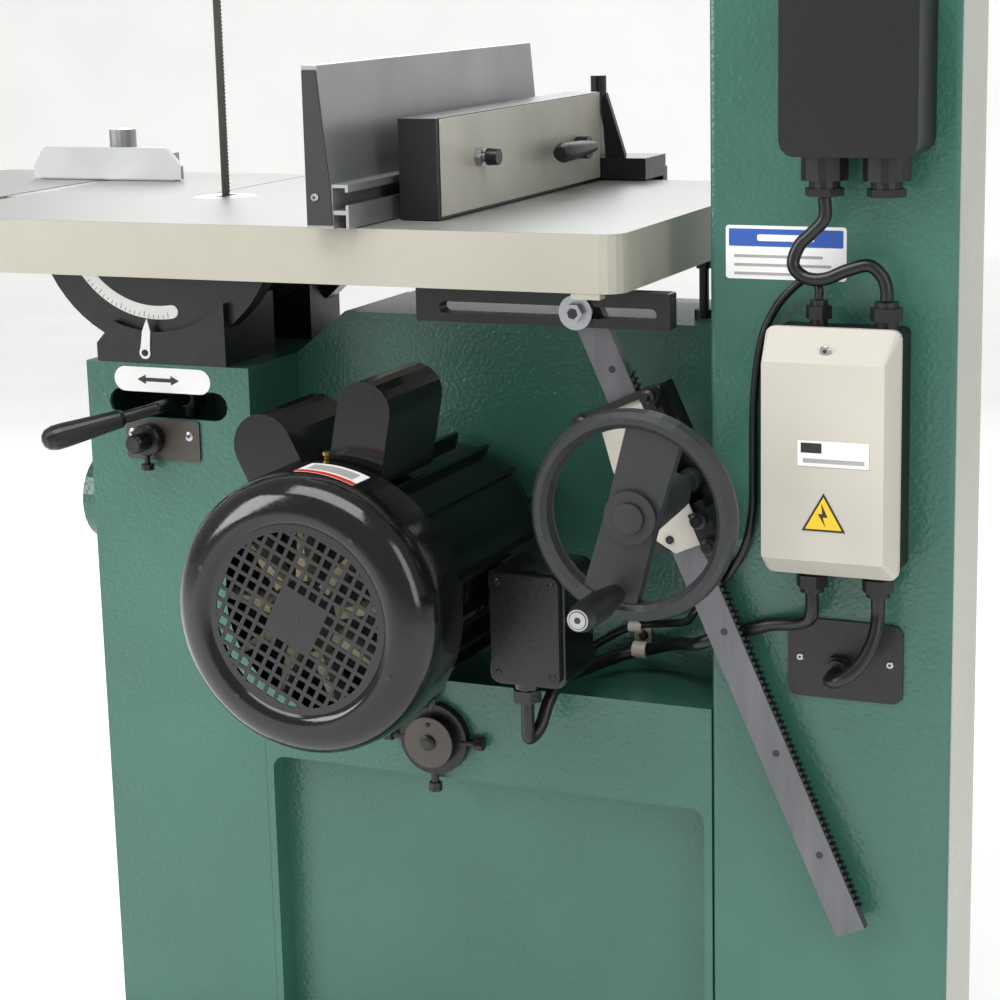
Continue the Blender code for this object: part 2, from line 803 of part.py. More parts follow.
def table_insert():
    low = TABLE_TOP - INSERT_THICKNESS
    disc = rod("Z", (0, 0), INSERT_RADIUS, low, TABLE_TOP - 0.2)
    slot = box((-5, 5), (-16, 12), (low - 5, TABLE_TOP + 5))
    part("table_insert", "aluminium", disc, cut=[slot], pivot=(0, 0, TABLE_TOP))


def half_disc(radius, low, high):
    """The part of a disc about the tilt axis that hangs below the table's slab."""
    drop = TABLE_SLAB + GAP
    start = degrees(atan2(-drop, -sqrt(radius**2 - drop**2)))
    outline = arc(TILT_AXIS, radius, start, -180 - start, 28)
    return prism(outline, "Y", low, high)


def trunnions():
    rear_low = TRUNNION_REAR - TRUNNION_WIDTH
    rear = half_disc(TRUNNION_RADIUS, rear_low, TRUNNION_REAR)
    hub = half_disc(TRUNNION_HUB, rear_low - 27, rear_low + 5)
    part("rear_trunnion", "cast_iron", rear, add=[hub], pivot=(0, 0, TABLE_TOP))
    front_low = -84
    front = half_disc(TRUNNION_RADIUS, front_low, front_low + TRUNNION_WIDTH)
    front_hub = half_disc(TRUNNION_HUB, front_low + TRUNNION_WIDTH - 5, front_low + 48)
    part("front_trunnion", "cast_iron", front, add=[front_hub], pivot=(0, 0, TABLE_TOP))


def saddle(name, low, high, groove):
    """Cast block whose arc carries a trunnion in a groove."""
    bottom = PEDESTAL_TOP + GAP
    left = 70
    right = -84
    start = degrees(atan2(-sqrt(SADDLE_ARC**2 - (left - 22) ** 2), left - 22))
    end = degrees(atan2(-sqrt(SADDLE_ARC**2 - right**2), right))
    curve = arc(TILT_AXIS, SADDLE_ARC, start, end, 18)
    outline = [(right, bottom), (left, bottom), (left, TABLE_TOP - 139)] + curve
    block = prism(outline, "Y", low, high)
    run = rod("Y", TILT_AXIS, TRUNNION_RADIUS + GAP, groove - GAP, groove + TRUNNION_WIDTH + GAP, 64)
    part(name, "cast_iron", block, cut=[run])


def saddles():
    saddle("rear_saddle", BOX_BACK + 2, BODY_REAR - 0.5, TRUNNION_REAR - TRUNNION_WIDTH)
    saddle("front_saddle", -94, -26, -84)


def tilt_bracket():
    """Slotted plate under the table that the rack's bolt pushes along."""
    low = BOLT_Z - 14
    high = TABLE_TOP - TABLE_PAD - GAP
    left = BOLT_X - 92
    right = BOLT_X + 165
    plate = prism(rounded(rectangle((left, right), (low, high + 1)), 2, 2), "Y", BRACKET_BACK, BRACKET_FRONT)
    ear_low = TABLE_TOP - TABLE_SLAB - GAP
    ear = box((BOLT_X - 10, right - 20), (BRACKET_BACK + 2, BRACKET_BACK + 14), (low + 5, ear_low))
    slot = prism(
        slot_outline((BOLT_X - 79, BOLT_X + 141), (BOLT_Z - SLOT_HEIGHT / 2, BOLT_Z + SLOT_HEIGHT / 2)),
        "Y",
        BRACKET_BACK - 5,
        BRACKET_FRONT + 5,
    )
    part("tilt_bracket", "cast_iron", plate, add=[ear], cut=[slot], pivot=(0, 0, TABLE_TOP))


def slot_bolt():
    """Shank in the bracket's slot, with a washer and a hexagon head in front."""
    spot = (BOLT_X, BOLT_Z)
    front = BRACKET_FRONT + GAP
    shank = rod("Y", spot, SLOT_HEIGHT / 2 - GAP, BRACKET_BACK + 1, front + 1, 20)
    washer = rod("Y", spot, 16.5, front, front + 3, 24)
    head = rod("Y", spot, 9.5, front + 2, front + 10, 6)
    part("slot_bolt", "steel", shank, add=[washer, head], pivot=(BOLT_X, BRACKET_FRONT, BOLT_Z))


def tilt_rack():
    half = RACK_WIDTH / 2
    top = arc((BOLT_X, BOLT_Z), half, 0, 180, 10)
    foot = [(BOLT_X - half, BOLT_Z - RACK_LENGTH), (BOLT_X + half, BOLT_Z - RACK_LENGTH)]
    bar = prism(top + foot, "Y", RACK_BACK, RACK_FRONT)
    turned_by(bar, RACK_ANGLE, "Y", (BOLT_X, BOLT_Z))
    part("tilt_rack", "steel", bar, pivot=(BOLT_X, RACK_BACK, BOLT_Z))


def rack_point(distance, across):
    """A point by its distance down the rack from the bolt and its offset towards the column."""
    x = BOLT_X - distance * sin(RACK_ANGLE) - across * cos(RACK_ANGLE)
    z = BOLT_Z - distance * cos(RACK_ANGLE) + across * sin(RACK_ANGLE)
    return x, z


def rack_distances():
    """How far down the rack, and how far to its side, the pinion's axis lies."""
    away = Vector((HANDWHEEL_X - BOLT_X, HANDWHEEL_Z - BOLT_Z))
    down = Vector((-sin(RACK_ANGLE), -cos(RACK_ANGLE)))
    side = Vector((-cos(RACK_ANGLE), sin(RACK_ANGLE)))
    return away.dot(down), away.dot(side)


def rack_block(start, end, near, far, y):
    """A block aligned with the rack between two distances and two offsets."""
    corners = [rack_point(start, near), rack_point(end, near), rack_point(end, far), rack_point(start, far)]
    return prism(corners, "Y", y[0], y[1])


def tilt_gearbox():
    """Housing that guides the rack past the pinion, standing on the wheel box's back."""
    side = rack_distances()[1]
    half = RACK_WIDTH / 2
    wall = BOX_BACK + GAP
    back = BODY_REAR - 8
    front = RACK_FRONT + 0.8
    plate = rack_block(GEARBOX_START, GEARBOX_END, -half - 16, side + 13, (back, RACK_BACK - 1))
    guide = rack_block(GEARBOX_START + 2, GEARBOX_END - 2, -half - 15, -half - 0.5, (RACK_BACK - 4, front + 3))
    cover = rack_block(GEARBOX_START + 4, GEARBOX_END - 4, -half - 14, half + 5, (front, front + 6))
    add = [guide, cover]
    for start, end in ((GEARBOX_START + 8, GEARBOX_START + 36), (GEARBOX_END - 36, GEARBOX_END - 8)):
        add.append(rack_block(start, end, half + 0.5, side + 8, (RACK_BACK - 3, front + 2)))
        add.append(rod("Y", rack_point((start + end) / 2, -half - 8), 10, wall, back + 3, 16))
    bore = rod("Y", HANDWHEEL_AXIS, 15, RACK_BACK - 2.5, front + 30, 24)
    bearing = rod("Y", HANDWHEEL_AXIS, 9.3, back - 10, front + 20, 24)
    corner = (-HANDWHEEL_RADIUS + COLUMN_FACE, COLUMN_FACE + GAP)
    column_side = box(corner, (back - 20, BODY_REAR + GAP), (HANDWHEEL_Z - 200, HANDWHEEL_Z + 200))
    cuts = [bore, bearing, column_side]
    part("tilt_gearbox", "blackened_steel", plate, add=add, cut=cuts)


def tilt_handwheel():
    """Two-spoke handwheel on the pinion shaft."""
    side = rack_distances()[1]
    pinion = side - RACK_WIDTH / 2 - GAP
    spot = HANDWHEEL_AXIS
    ring = HANDWHEEL_RADIUS - RIM_RADIUS
    profile = []
    for step in range(10):
        angle = 2 * pi * step / 10
        profile.append((ring + RIM_RADIUS * cos(angle), RIM_Y - 2 + 15 * sin(angle)))
    rim = turned(profile, "Y", spot, 40)
    shaft = rod("Y", spot, 9, BODY_REAR - 14, RIM_Y + 2, 20)
    gear = rod("Y", spot, pinion, RACK_BACK - 2, RACK_FRONT - 1, 24)
    hub = turned([(0, 230), (19, 230), (24, RIM_Y - 12), (24, RIM_Y + 10), (0, RIM_Y + 10)], "Y", spot, 32)
    cap = rod("Y", spot, 13, RIM_Y + 8, RIM_Y + 13, 24)
    spoke = prism(
        [
            (HANDWHEEL_X - 26, HANDWHEEL_Z - ring),
            (HANDWHEEL_X + 26, HANDWHEEL_Z - ring),
            (HANDWHEEL_X + 24, HANDWHEEL_Z),
            (HANDWHEEL_X + 26, HANDWHEEL_Z + ring),
            (HANDWHEEL_X - 26, HANDWHEEL_Z + ring),
            (HANDWHEEL_X - 24, HANDWHEEL_Z),
        ],
        "Y",
        RIM_Y - 8,
        RIM_Y + 5,
    )
    turned_by(spoke, -SPOKE_ANGLE, "Y", spot)
    part(
        "tilt_handwheel",
        "black_plastic",
        rim,
        add=[spoke, hub, cap, shaft, gear],
        pivot=(HANDWHEEL_X, RIM_Y, HANDWHEEL_Z),
    )


def crank_handle():
    x = HANDWHEEL_X + HANDLE_RADIUS * sin(HANDLE_ANGLE)
    z = HANDWHEEL_Z - HANDLE_RADIUS * cos(HANDLE_ANGLE)
    low = RIM_Y + 13.5
    profile = [(0, low), (9, low), (10, low + 6), (13.5, low + 40), (13, low + 80), (10.5, low + 90), (0, low + 90)]
    part("crank_handle", "black_plastic", turned(profile, "Y", (x, z), 24), pivot=(x, low, z))


def stop_bolt():
    """Upright bolt on the wheel box that the table's skirt rests on when it is level."""
    low = BOX_TOP + GAP
    high = TABLE_TOP - TABLE_SKIRT - GAP
    profile = [(0, low), (10, low), (10, low + 8), (5, low + 8), (5, high - 8), (8, high - 8), (8, high), (0, high)]
    part("stop_bolt", "blackened_steel", turned(profile, "Z", (TABLE_COLUMN_END + 9, 0), 12))


# Fence and mitre gauge.

FENCE_FACE = -248.0
FENCE_END = 276.0
FENCE_FRONT = -236.0
FENCE_LIFT = 1.0


def fence_rail():
    """Rail along the table's front edge that the fence slides on."""
    outline = rectangle((TABLE_FRONT - 42, TABLE_FRONT - 12), (TABLE_TOP - 56, TABLE_TOP - 12))
    tube = prism(outline, "X", TABLE_COLUMN_END + 20, TABLE_FREE_END - 20)
    hollow = prism(inset(outline, 3), "X", TABLE_COLUMN_END, TABLE_FREE_END)
    add = []
    for x in (TABLE_COLUMN_END + 70, -60, 130, TABLE_FREE_END - 70):
        add.append(box((x - 12, x + 12), (TABLE_FRONT - 13, TABLE_FRONT - GAP), (TABLE_TOP - 48, TABLE_TOP - 20)))
    part("fence_rail", "blackened_steel", tube, add=add, cut=[hollow], pivot=(0, 0, TABLE_TOP))


def fence_body():
    """Cast T-shaped body: the bar across the table and the head that rides the rail."""
    low = TABLE_TOP + FENCE_LIFT
    bar = box((FENCE_FACE - 95, FENCE_FACE - 55), (FENCE_FRONT, 190), (low, low + 96))
    head = box((FENCE_FACE - 150, FENCE_FACE + 20), (TABLE_FRONT - 48, FENCE_FRONT + 6), (low + 0.5, low + 24))
    lip = box((FENCE_FACE - 149, FENCE_FACE + 19), (TABLE_FRONT - 56, TABLE_FRONT - 43), (low - 40, low + 10))
    web = prism(
        [(FENCE_FRONT + 1, low + 20), (FENCE_FRONT + 1, low + 92), (FENCE_FRONT - 45, low + 20)],
        "X",
        FENCE_FACE - 90,
        FENCE_FACE - 60,
    )
    add = [head, lip, web]
    for y in (-120, 100):
        add.append(rod("X", (y, low + 58), 8, FENCE_FACE - 56, FENCE_FACE - 27, 16))
    part("fence_body", "cast_iron", bar, add=add, pivot=(FENCE_FACE, 0, TABLE_TOP))


def fence_face():
    """Tall aluminium face with a low open channel along the foot of its back."""
    low = TABLE_TOP + FENCE_LIFT
    section = [
        (FENCE_FACE, low),
        (FENCE_FACE, low + 150),
        (FENCE_FACE - 16, low + 150),
        (FENCE_FACE - 25, low + 41),
        (FENCE_FACE - 44, low + 41),
        (FENCE_FACE - 44, low + 34),
        (FENCE_FACE - 41, low + 34),
        (FENCE_FACE - 41, low + 38),
        (FENCE_FACE - 28, low + 38),
        (FENCE_FACE - 28, low + 17),
        (FENCE_FACE - 41, low + 17),
        (FENCE_FACE - 41, low + 22),
        (FENCE_FACE - 44, low + 22),
        (FENCE_FACE - 44, low),
        (FENCE_FACE - 41, low),
        (FENCE_FACE - 41, low + 13),
        (FENCE_FACE - 28, low + 13),
        (FENCE_FACE - 28, low),
    ]
    section.reverse()
    profile = prism(section, "Y", FENCE_FRONT + 8, FENCE_END)
    part("fence_face", "aluminium", profile, pivot=(FENCE_FACE, 0, TABLE_TOP))


def fence_lock():
    """Cam lever at the operator's end of the fence."""
    y = TABLE_FRONT - 62
    z = TABLE_TOP + 6
    x = FENCE_FACE - 65
    hub = rod("X", (y, z), 5.5, x - 30, x + 30, 16)
    lever = box((x - 8, x + 8), (y - 5, y + 5), (z, z + 50))
    grip = rod("Z", (x, y), 9, z + 45, z + 105, 16)
    part("fence_lock", "black_plastic", hub, add=[lever, grip], pivot=(x, y, z))


MITRE_Y = -140.0


def mitre_bar():
    """Guide bar in the table's slot, with the pivot disc on top."""
    half = MITRE_WIDTH / 2 - GAP
    bar = box(
        (MITRE_X - half, MITRE_X + half),
        (MITRE_Y - 105, MITRE_Y + 190),
        (TABLE_TOP - MITRE_DEPTH + GAP, TABLE_TOP - 0.5),
    )
    pin = rod("Z", (MITRE_X, MITRE_Y - 40), 6, TABLE_TOP - 5, TABLE_TOP + 10, 16)
    part("mitre_bar", "steel", bar, add=[pin], pivot=(MITRE_X, MITRE_Y - 40, TABLE_TOP))


def mitre_head():
    """Semicircular gauge head with its tall face plate towards the blade side."""
    y = MITRE_Y - 40
    low = TABLE_TOP + GAP
    outline = arc((MITRE_X, y), 62, 180, 360, 18)
    outline += [(MITRE_X + 62, MITRE_Y - 8), (MITRE_X - 62, MITRE_Y - 8)]
    base = prism(outline, "Z", low, low + 14)
    wall = box((MITRE_X - 92, MITRE_X + 92), (MITRE_Y - 14, MITRE_Y - 1.5), (low, low + 32))
    plate = prism(
        [
            (MITRE_X - 104, low + 2),
            (MITRE_X + 98, low + 2),
            (MITRE_X + 98, low + 16),
            (MITRE_X + 82, low + 38),
            (MITRE_X - 86, low + 38),
            (MITRE_X - 104, low + 17),
        ],
        "Y",
        MITRE_Y - 2,
        MITRE_Y + 4,
    )
    bore = rod("Z", (MITRE_X, y), 6.3, low - 5, low + 11, 16)
    stem = [(0, low + 13), (9, low + 13), (9, low + 30), (16, low + 32), (16, low + 56), (0, low + 58)]
    knob = turned(stem, "Z", (MITRE_X, y), 16)
    part("mitre_head", "aluminium", base, add=[wall, plate, knob], cut=[bore], pivot=(MITRE_X, y, TABLE_TOP))


# Table lock.

LOCK_X = -13.0
LOCK_Y = 112.0
LOCK_DROP = 200.0


def lock_lever():
    """Lever that swings in the pedestal's slot, on an upright screw inside."""
    z = TABLE_TOP - LOCK_DROP
    screw = rod("Z", (LOCK_X, LOCK_Y), 9, z - 20, z + 36, 16)
    boss = rod("Z", (LOCK_X, LOCK_Y), 15, z - 9, z + 9, 20)
    part(
        "table_lock_lever",
        "blackened_steel",
        screw,
        add=[boss] + lever_arm(z),
        pivot=(LOCK_X, LOCK_Y, z),
    )


def lever_arm(z):
    """Round arm out through the slot and bent down, with a tapered grip."""
    arm = rod("Y", (LOCK_X, z), 6.5, LOCK_Y + 6, BODY_REAR + 22, 16)
    knee = bmesh.new()
    bmesh.ops.create_uvsphere(knee, u_segments=12, v_segments=8, radius=6.6)
    shifted(knee, (LOCK_X, BODY_REAR + 22, z))
    grip_profile = [(0, -2), (6.3, 0), (6.3, 34), (9.5, 38), (13, 98), (13, 108), (10.5, 116), (6, 120), (0, 121.5)]
    grip = turned(grip_profile, "Y", (0, 0), 20)
    heading = Vector((0.88, 0.75, -0.25)).normalized()
    turn = Vector((0, 1, 0)).rotation_difference(heading).to_matrix().to_4x4()
    bmesh.ops.transform(grip, matrix=turn, verts=grip.verts)
    shifted(grip, (LOCK_X, BODY_REAR + 22, z))
    return [arm, outward(knee), grip]


# Motor.


def motor_body():
    """Finned stator with its two end frames, flanged to the wheel box's back."""
    low = BOX_BACK + GAP
    profile = [
        (66, low),
        (86, low),
        (86, low + 14),
        (MOTOR_RADIUS - 8, low + 22),
        (MOTOR_RADIUS - 4, low + 40),
        (MOTOR_RADIUS - 4, COVER_FRONT + 14),
        (0, COVER_FRONT + 14),
        (0, COVER_FRONT - 20),
        (66, COVER_FRONT - 20),
    ]
    body = turned(profile, "Y", MOTOR_AXIS, 40)
    fins = []
    for index in range(20):
        angle = 2 * pi * (index + 0.5) / 20
        fin = box(
            (MOTOR_X - 2.2, MOTOR_X + 2.2),
            (low + 34, COVER_FRONT - 6),
            (MOTOR_Z + MOTOR_RADIUS - 8, MOTOR_Z + MOTOR_RADIUS + 5),
        )
        fins.append(turned_by(fin, angle, "Y", MOTOR_AXIS))
    part("motor_body", "black_paint", body, add=fins)


def fan_cover():
    """Deep-drawn fan cover with a grid of square holes in its face."""
    front = COVER_FRONT
    inner = COVER_RADIUS - 2.5
    profile = [
        (inner, front),
        (COVER_RADIUS, front),
        (COVER_RADIUS, MOTOR_REAR - 36),
        (COVER_RADIUS - 4, MOTOR_REAR - 18),
        (COVER_RADIUS - 18, MOTOR_REAR - 5),
        (COVER_RADIUS - 34, MOTOR_REAR - 1),
        (COVER_RADIUS - 42, MOTOR_REAR - 8),
        (0, MOTOR_REAR - 8),
        (0, MOTOR_REAR - 10.5),
        (COVER_RADIUS - 43, MOTOR_REAR - 10.5),
        (COVER_RADIUS - 35, MOTOR_REAR - 4),
        (COVER_RADIUS - 20, MOTOR_REAR - 8),
        (COVER_RADIUS - 7, MOTOR_REAR - 20),
        (inner, MOTOR_REAR - 37),
    ]
    holes = []
    reach = COVER_RADIUS - 58
    pitch = 25.0
    count = 3
    for row in range(-count, count + 1):
        for col in range(-count, count + 1):
            across = col * pitch
            up = row * pitch
            distance = sqrt(across**2 + up**2)
            if distance > reach or distance < 30:
                continue
            half = 7.5
            x = (MOTOR_X + across - half, MOTOR_X + across + half)
            z = (MOTOR_Z + up - half, MOTOR_Z + up + half)
            hole = box(x, (MOTOR_REAR - 20, MOTOR_REAR + 5), z)
            holes.append(turned_by(hole, radians(27), "Y", MOTOR_AXIS))
    part("motor_fan_cover", "black_paint", turned(profile, "Y", MOTOR_AXIS, 40), cut=holes)


def motor_rotor():
    """Shaft with the fan at the back and the belt pulley in front."""
    shaft = rod("Y", MOTOR_AXIS, 14, BELT_Y - 14, COVER_FRONT - 21, 20)
    pulley = turned(
        [
            (0, BELT_Y - BELT_HALF),
            (MOTOR_PULLEY_RADIUS, BELT_Y - BELT_HALF),
            (MOTOR_PULLEY_RADIUS, BELT_Y - BELT_HALF + 1),
            (MOTOR_PULLEY_RADIUS - 6, BELT_Y - BELT_HALF + 1.2),
            (MOTOR_PULLEY_RADIUS - 6, BELT_Y + BELT_HALF - 1.2),
            (MOTOR_PULLEY_RADIUS, BELT_Y + BELT_HALF - 1),
            (MOTOR_PULLEY_RADIUS, BELT_Y + BELT_HALF),
            (0, BELT_Y + BELT_HALF),
        ],
        "Y",
        MOTOR_AXIS,
        28,
    )
    part("motor_rotor", "steel", shaft, add=[pulley], pivot=(MOTOR_X, BELT_Y, MOTOR_Z))


def capacitor_cover(name, angle, half, reach):
    """Round-topped cover on the stator, leaning by its angle about the motor's axis."""
    low = MOTOR_Z + MOTOR_RADIUS + 6
    high = MOTOR_Z + reach - half
    outline = [(MOTOR_X - half, low), (MOTOR_X + half, low)] + arc((MOTOR_X, high), half, 0, 180, 10)
    cover = prism(outline, "Y", 212, 326)
    part(name, "black_paint", turned_by(cover, angle, "Y", MOTOR_AXIS))


def terminal_box():
    """Motor terminal box with its cable gland below."""
    x = (MOTOR_X - MOTOR_RADIUS - 84, MOTOR_X - MOTOR_RADIUS - 6)
    z = (TABLE_TOP - 436, TABLE_TOP - 322)
    outline = rounded(rectangle(x, z), 10, 3)
    body = prism(outline, "Y", 168, 240)
    gland = rod("Z", (x[0] + 52, 212), 12, z[0] - 14, z[0] + 4, 16)
    nut = rod("Z", (x[0] + 52, 212), 15, z[0] - 24, z[0] - 12, 6)
    neck = box((x[1] - 4, x[1] + 9), (190, 218), (MOTOR_Z - 11, MOTOR_Z + 11))
    part("motor_terminal_box", "black_paint", body, add=[gland, nut, neck])


# Electrical parts on the column.

STARTER_X = (-797.0, -673.0)
STARTER_DROP = (84.0, 311.0)
STARTER_BACK = 12.0
STARTER_DEPTH = 58.0
GLAND_TOP = ((-716.0, 8.0), (-778.0, 11.0))
GLAND_BOTTOM = ((-711.0, 11.0), (-773.0, 11.0))
CABLE_Y = 186.0


def gland(x, z, radius, direction):
    """Threaded gland body and nut on a vertical axis, pointing up or down."""
    low, high = sorted((z - direction * 4, z + direction * 22))
    stem = rod("Z", (x, CABLE_Y), radius, low, high, 16)
    nut_low, nut_high = sorted((z + direction * 5, z + direction * 17))
    nut = rod("Z", (x, CABLE_Y), radius + 4, nut_low, nut_high, 6)
    return [stem, nut]


def starter():
    """Motor starter: dark base with its four glands and a pale drafted cover."""
    top = TABLE_TOP - STARTER_DROP[0]
    bottom = TABLE_TOP - STARTER_DROP[1]
    low = BODY_REAR + GAP
    seam = low + 42
    base_outline = rounded(rectangle((STARTER_X[0], STARTER_X[1]), (bottom, top)), 8, 3)
    base = prism(inset(base_outline, 3), "Y", low, seam)
    add = []
    for x, radius in GLAND_TOP:
        add += gland(x, top, radius, 1)
    for x, radius in GLAND_BOTTOM:
        add += gland(x, bottom, radius, -1)
    part("starter_base", "black_plastic", base, add=add)
    front = seam + GAP + 38
    cover = bmesh.new()
    rim = [cover.verts.new((x, seam + GAP, z)) for x, z in base_outline]
    lip = [cover.verts.new((x, seam + GAP + 6, z)) for x, z in base_outline]
    face = []
    for x, z in inset(base_outline, 6):
        height = bottom + 16 + (z - bottom) * (top - bottom - 38) / (top - bottom)
        face.append(cover.verts.new((x, front, height)))
    count = len(rim)
    cover.faces.new(rim)
    cover.faces.new(face)
    for first, second in ((rim, lip), (lip, face)):
        for index in range(count):
            after = (index + 1) % count
            cover.faces.new([first[index], first[after], second[after], second[index]])
    part("starter_cover", "grey_plastic", outward(cover))


JUNCTION_X = (-814.0, -690.0)
JUNCTION_GLANDS = (-723.0, -779.0)


def junction_box():
    """Black switch box on the column with two downward gland bosses."""
    low = BODY_REAR + GAP
    bottom = TABLE_TOP + 68
    outline = rounded(rectangle(JUNCTION_X, (bottom, bottom + 150)), 14, 3)
    body = prism(outline, "Y", low, low + 66)
    add = []
    for x in JUNCTION_GLANDS:
        add.append(rod("Z", (x, CABLE_Y + 8), 21, bottom - 22, bottom + 5, 20))
        add.append(rod("Z", (x, CABLE_Y + 8), 14, bottom - 30, bottom - 20, 16))
        add.append(rod("Z", (x, CABLE_Y + 8), 18, bottom - 36, bottom - 29, 6))
    part("junction_box", "black_plastic", body, add=add)


def cable_plate():
    """Plate on the column where the outlet cable enters through a gland."""
    low = BODY_REAR + GAP
    outline = rounded(rectangle((-791, -681), (TABLE_TOP - 442, TABLE_TOP - 366)), 10, 3)
    plate = prism(outline, "Y", low, low + 3)
    spot = (-731, TABLE_TOP - 413)
    stem = rod("Y", spot, 12, low + 2, low + 16, 16)
    nut = rod("Y", spot, 15, low + 2.5, low + 10, 6)
    part("cable_plate", "blackened_steel", plate, add=[stem, nut])


PANEL_X = -628.0
PANEL_Z = (1150.0, 1330.0)
PANEL_FRONT = -82.0


def switch_panel():
    """Control box on the front of the blade's return guard."""
    x = (PANEL_X - 36, PANEL_X + 36)
    shell = box(x, (PANEL_FRONT, -45 - GAP), PANEL_Z)
    holes = []
    for height in button_heights():
        holes.append(rod("Y", (PANEL_X, height), 15.5, PANEL_FRONT - 5, PANEL_FRONT + 12, 24))
    part("switch_panel", "grey_plastic", shell, cut=holes)


def button_heights():
    middle = (PANEL_Z[0] + PANEL_Z[1]) / 2
    return middle - 36, middle + 36


def buttons():
    stop_z, start_z = button_heights()
    low = PANEL_FRONT
    for name, z, material, proud in (
        ("stop_button", stop_z, "red_plastic", 12),
        ("start_button", start_z, "green_plastic", 6),
    ):
        profile = [(0, low - proud), (12, low - proud), (15, low - proud + 3), (15, low + 6), (0, low + 6)]
        part(name, material, turned(profile, "Y", (PANEL_X, z), 24), pivot=(PANEL_X, low, z))


def cables():
    """The four leads held between the housings on the back of the saw."""
    top = TABLE_TOP
    low_gland = TABLE_TOP - STARTER_DROP[1] - 22 - GAP
    high_gland = TABLE_TOP - STARTER_DROP[0] + 22 + GAP
    supply = [
        (JUNCTION_GLANDS[0], CABLE_Y + 8, top + 32 - 7 * GAP),
        (JUNCTION_GLANDS[0], CABLE_Y + 8, top + 12),
        (-712, CABLE_Y + 8, top - 1),
        (-700, CABLE_Y + 8, top - 13),
        (-695, CABLE_Y + 10, top - 30),
        (-706, CABLE_Y + 11, top - 41),
        (-724, CABLE_Y + 11, top - 42),
        (-744, CABLE_Y + 7, top - 34),
        (-762, CABLE_Y + 2, top - 30),
        (-774, CABLE_Y, top - 40),
        (GLAND_TOP[1][0], CABLE_Y, top - 52),
        (GLAND_TOP[1][0], CABLE_Y, high_gland + 1.5),
    ]
    cable("cable_supply", supply, 12.0)
    control = [
        (GLAND_TOP[0][0], CABLE_Y, high_gland + 1.5),
        (GLAND_TOP[0][0], CABLE_Y, top - 52),
        (-710, CABLE_Y - 3, top - 45),
        (-697, CABLE_Y - 10, top - 47),
        (-680, 172, top - 62),
        (-668, 169, top - 78),
        (-658, 168, top - 100),
        (-652, 167, top - 130),
        (-649, 167, top - 165),
        (-648, 166, top - 200),
        (-648, 166, top - 235),
        (-647, 166, top - 268),
        (-640, 166, top - 300),
        (-626, 166, top - 326),
        (-606, 165.5, top - 350),
        (-588, 158, top - 370),
        (-572, 134, top - 388),
        (-550, 98, top - 402),
        (-522, 74, top - 412),
        (-500, 66, top - 417),
        (-480, 66, top - 424),
        (-462, 67, top - 434),
        (-450, 69, top - 442),
        (-443, 67, top - 447),
        (-441, 61, top - 448),
        (-441, BOX_BACK + 3, top - 448),
    ]
    cable("cable_control", control, 8.0)
    gland_x = MOTOR_X - MOTOR_RADIUS - 84 + 52
    motor = [
        (GLAND_BOTTOM[0][0], CABLE_Y, low_gland - 2.0),
        (GLAND_BOTTOM[0][0], CABLE_Y, top - 352),
        (-706, CABLE_Y - 4, top - 362),
        (-690, 175, top - 369),
        (-666, 168, top - 374),
        (-640, 167.1, top - 383),
        (-616, 167.2, top - 391),
        (-600, 169, top - 397),
        (-588, 160, top - 403),
        (-576, 134, top - 412),
        (-546, 98, top - 424),
        (-508, 74, top - 440),
        (-484, 80, top - 446),
        (-468, 100, top - 450),
        (-456, 130, top - 452),
        (-448, 160, top - 453),
        (-443, 181, top - 470),
        (-439, 194, top - 492),
        (gland_x + 1, 207, top - 500),
        (gland_x, 212, top - 484),
        (gland_x, 212, top - 436 - 24 - 5 * GAP),
    ]
    cable("cable_motor", motor, 13.0)
    outlet_x, outlet_z = -731, TABLE_TOP - 413
    outlet = [
        (GLAND_BOTTOM[1][0], CABLE_Y, low_gland - 2.0),
        (GLAND_BOTTOM[1][0], CABLE_Y, top - 352),
        (-772, CABLE_Y + 6, top - 368),
        (-766, CABLE_Y + 14, top - 386),
        (-755, CABLE_Y + 21, top - 401),
        (-742, CABLE_Y + 22, top - 410),
        (-733, CABLE_Y + 15, top - 413),
        (outlet_x, CABLE_Y + 6, outlet_z),
        (outlet_x, BODY_REAR + 19, outlet_z),
    ]
    cable("cable_outlet", outlet, 13.0)


def build():
    clear_scene()
    machine = bpy.data.objects.new("machine", None)
    machine.location = (-MIDDLE_X * 0.001, -MIDDLE_Y * 0.001, 0.0)
    bpy.context.scene.collection.objects.link(machine)
    MACHINE["empty"] = machine
    base_plate()
    column()
    lower_wheel_box()
    pedestal()
    rear_panel()
    upper_wheel_box()
    return_guard()
    dust_port()
    lower_wheel()
    band_wheel("upper_wheel", UPPER_Z, None)
    tyre("lower_tyre", LOWER_Z)
    tyre("upper_tyre", UPPER_Z)
    wheel_shaft()
    upper_carriage()
    tension_handwheel()
    blade()
    drive_belt()
    doors()
    guide_post()
    upper_guides()
    lower_guides()
    guide_handwheel()
    table()
    table_insert()
    trunnions()
    saddles()
    tilt_bracket()
    slot_bolt()
    tilt_rack()
    tilt_gearbox()
    tilt_handwheel()
    crank_handle()
    stop_bolt()
    fence_rail()
    fence_body()
    fence_face()
    fence_lock()
    mitre_bar()
    mitre_head()
    lock_lever()
    motor_body()
    fan_cover()
    motor_rotor()
    capacitor_cover("left_capacitor_cover", radians(27), 31, 190)
    capacitor_cover("right_capacitor_cover", radians(-11), 27, 212)
    terminal_box()
    starter()
    junction_box()
    cable_plate()
    switch_panel()
    buttons()
    cables()


build()
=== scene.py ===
# Looks for a band saw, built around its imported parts.
# Places are given in millimetres from the blade: x to the table's free end, y to the motor side,
# z up from the table top.

import json
import math

import bmesh
import bpy
import numpy as np
from mathutils import Matrix, Vector


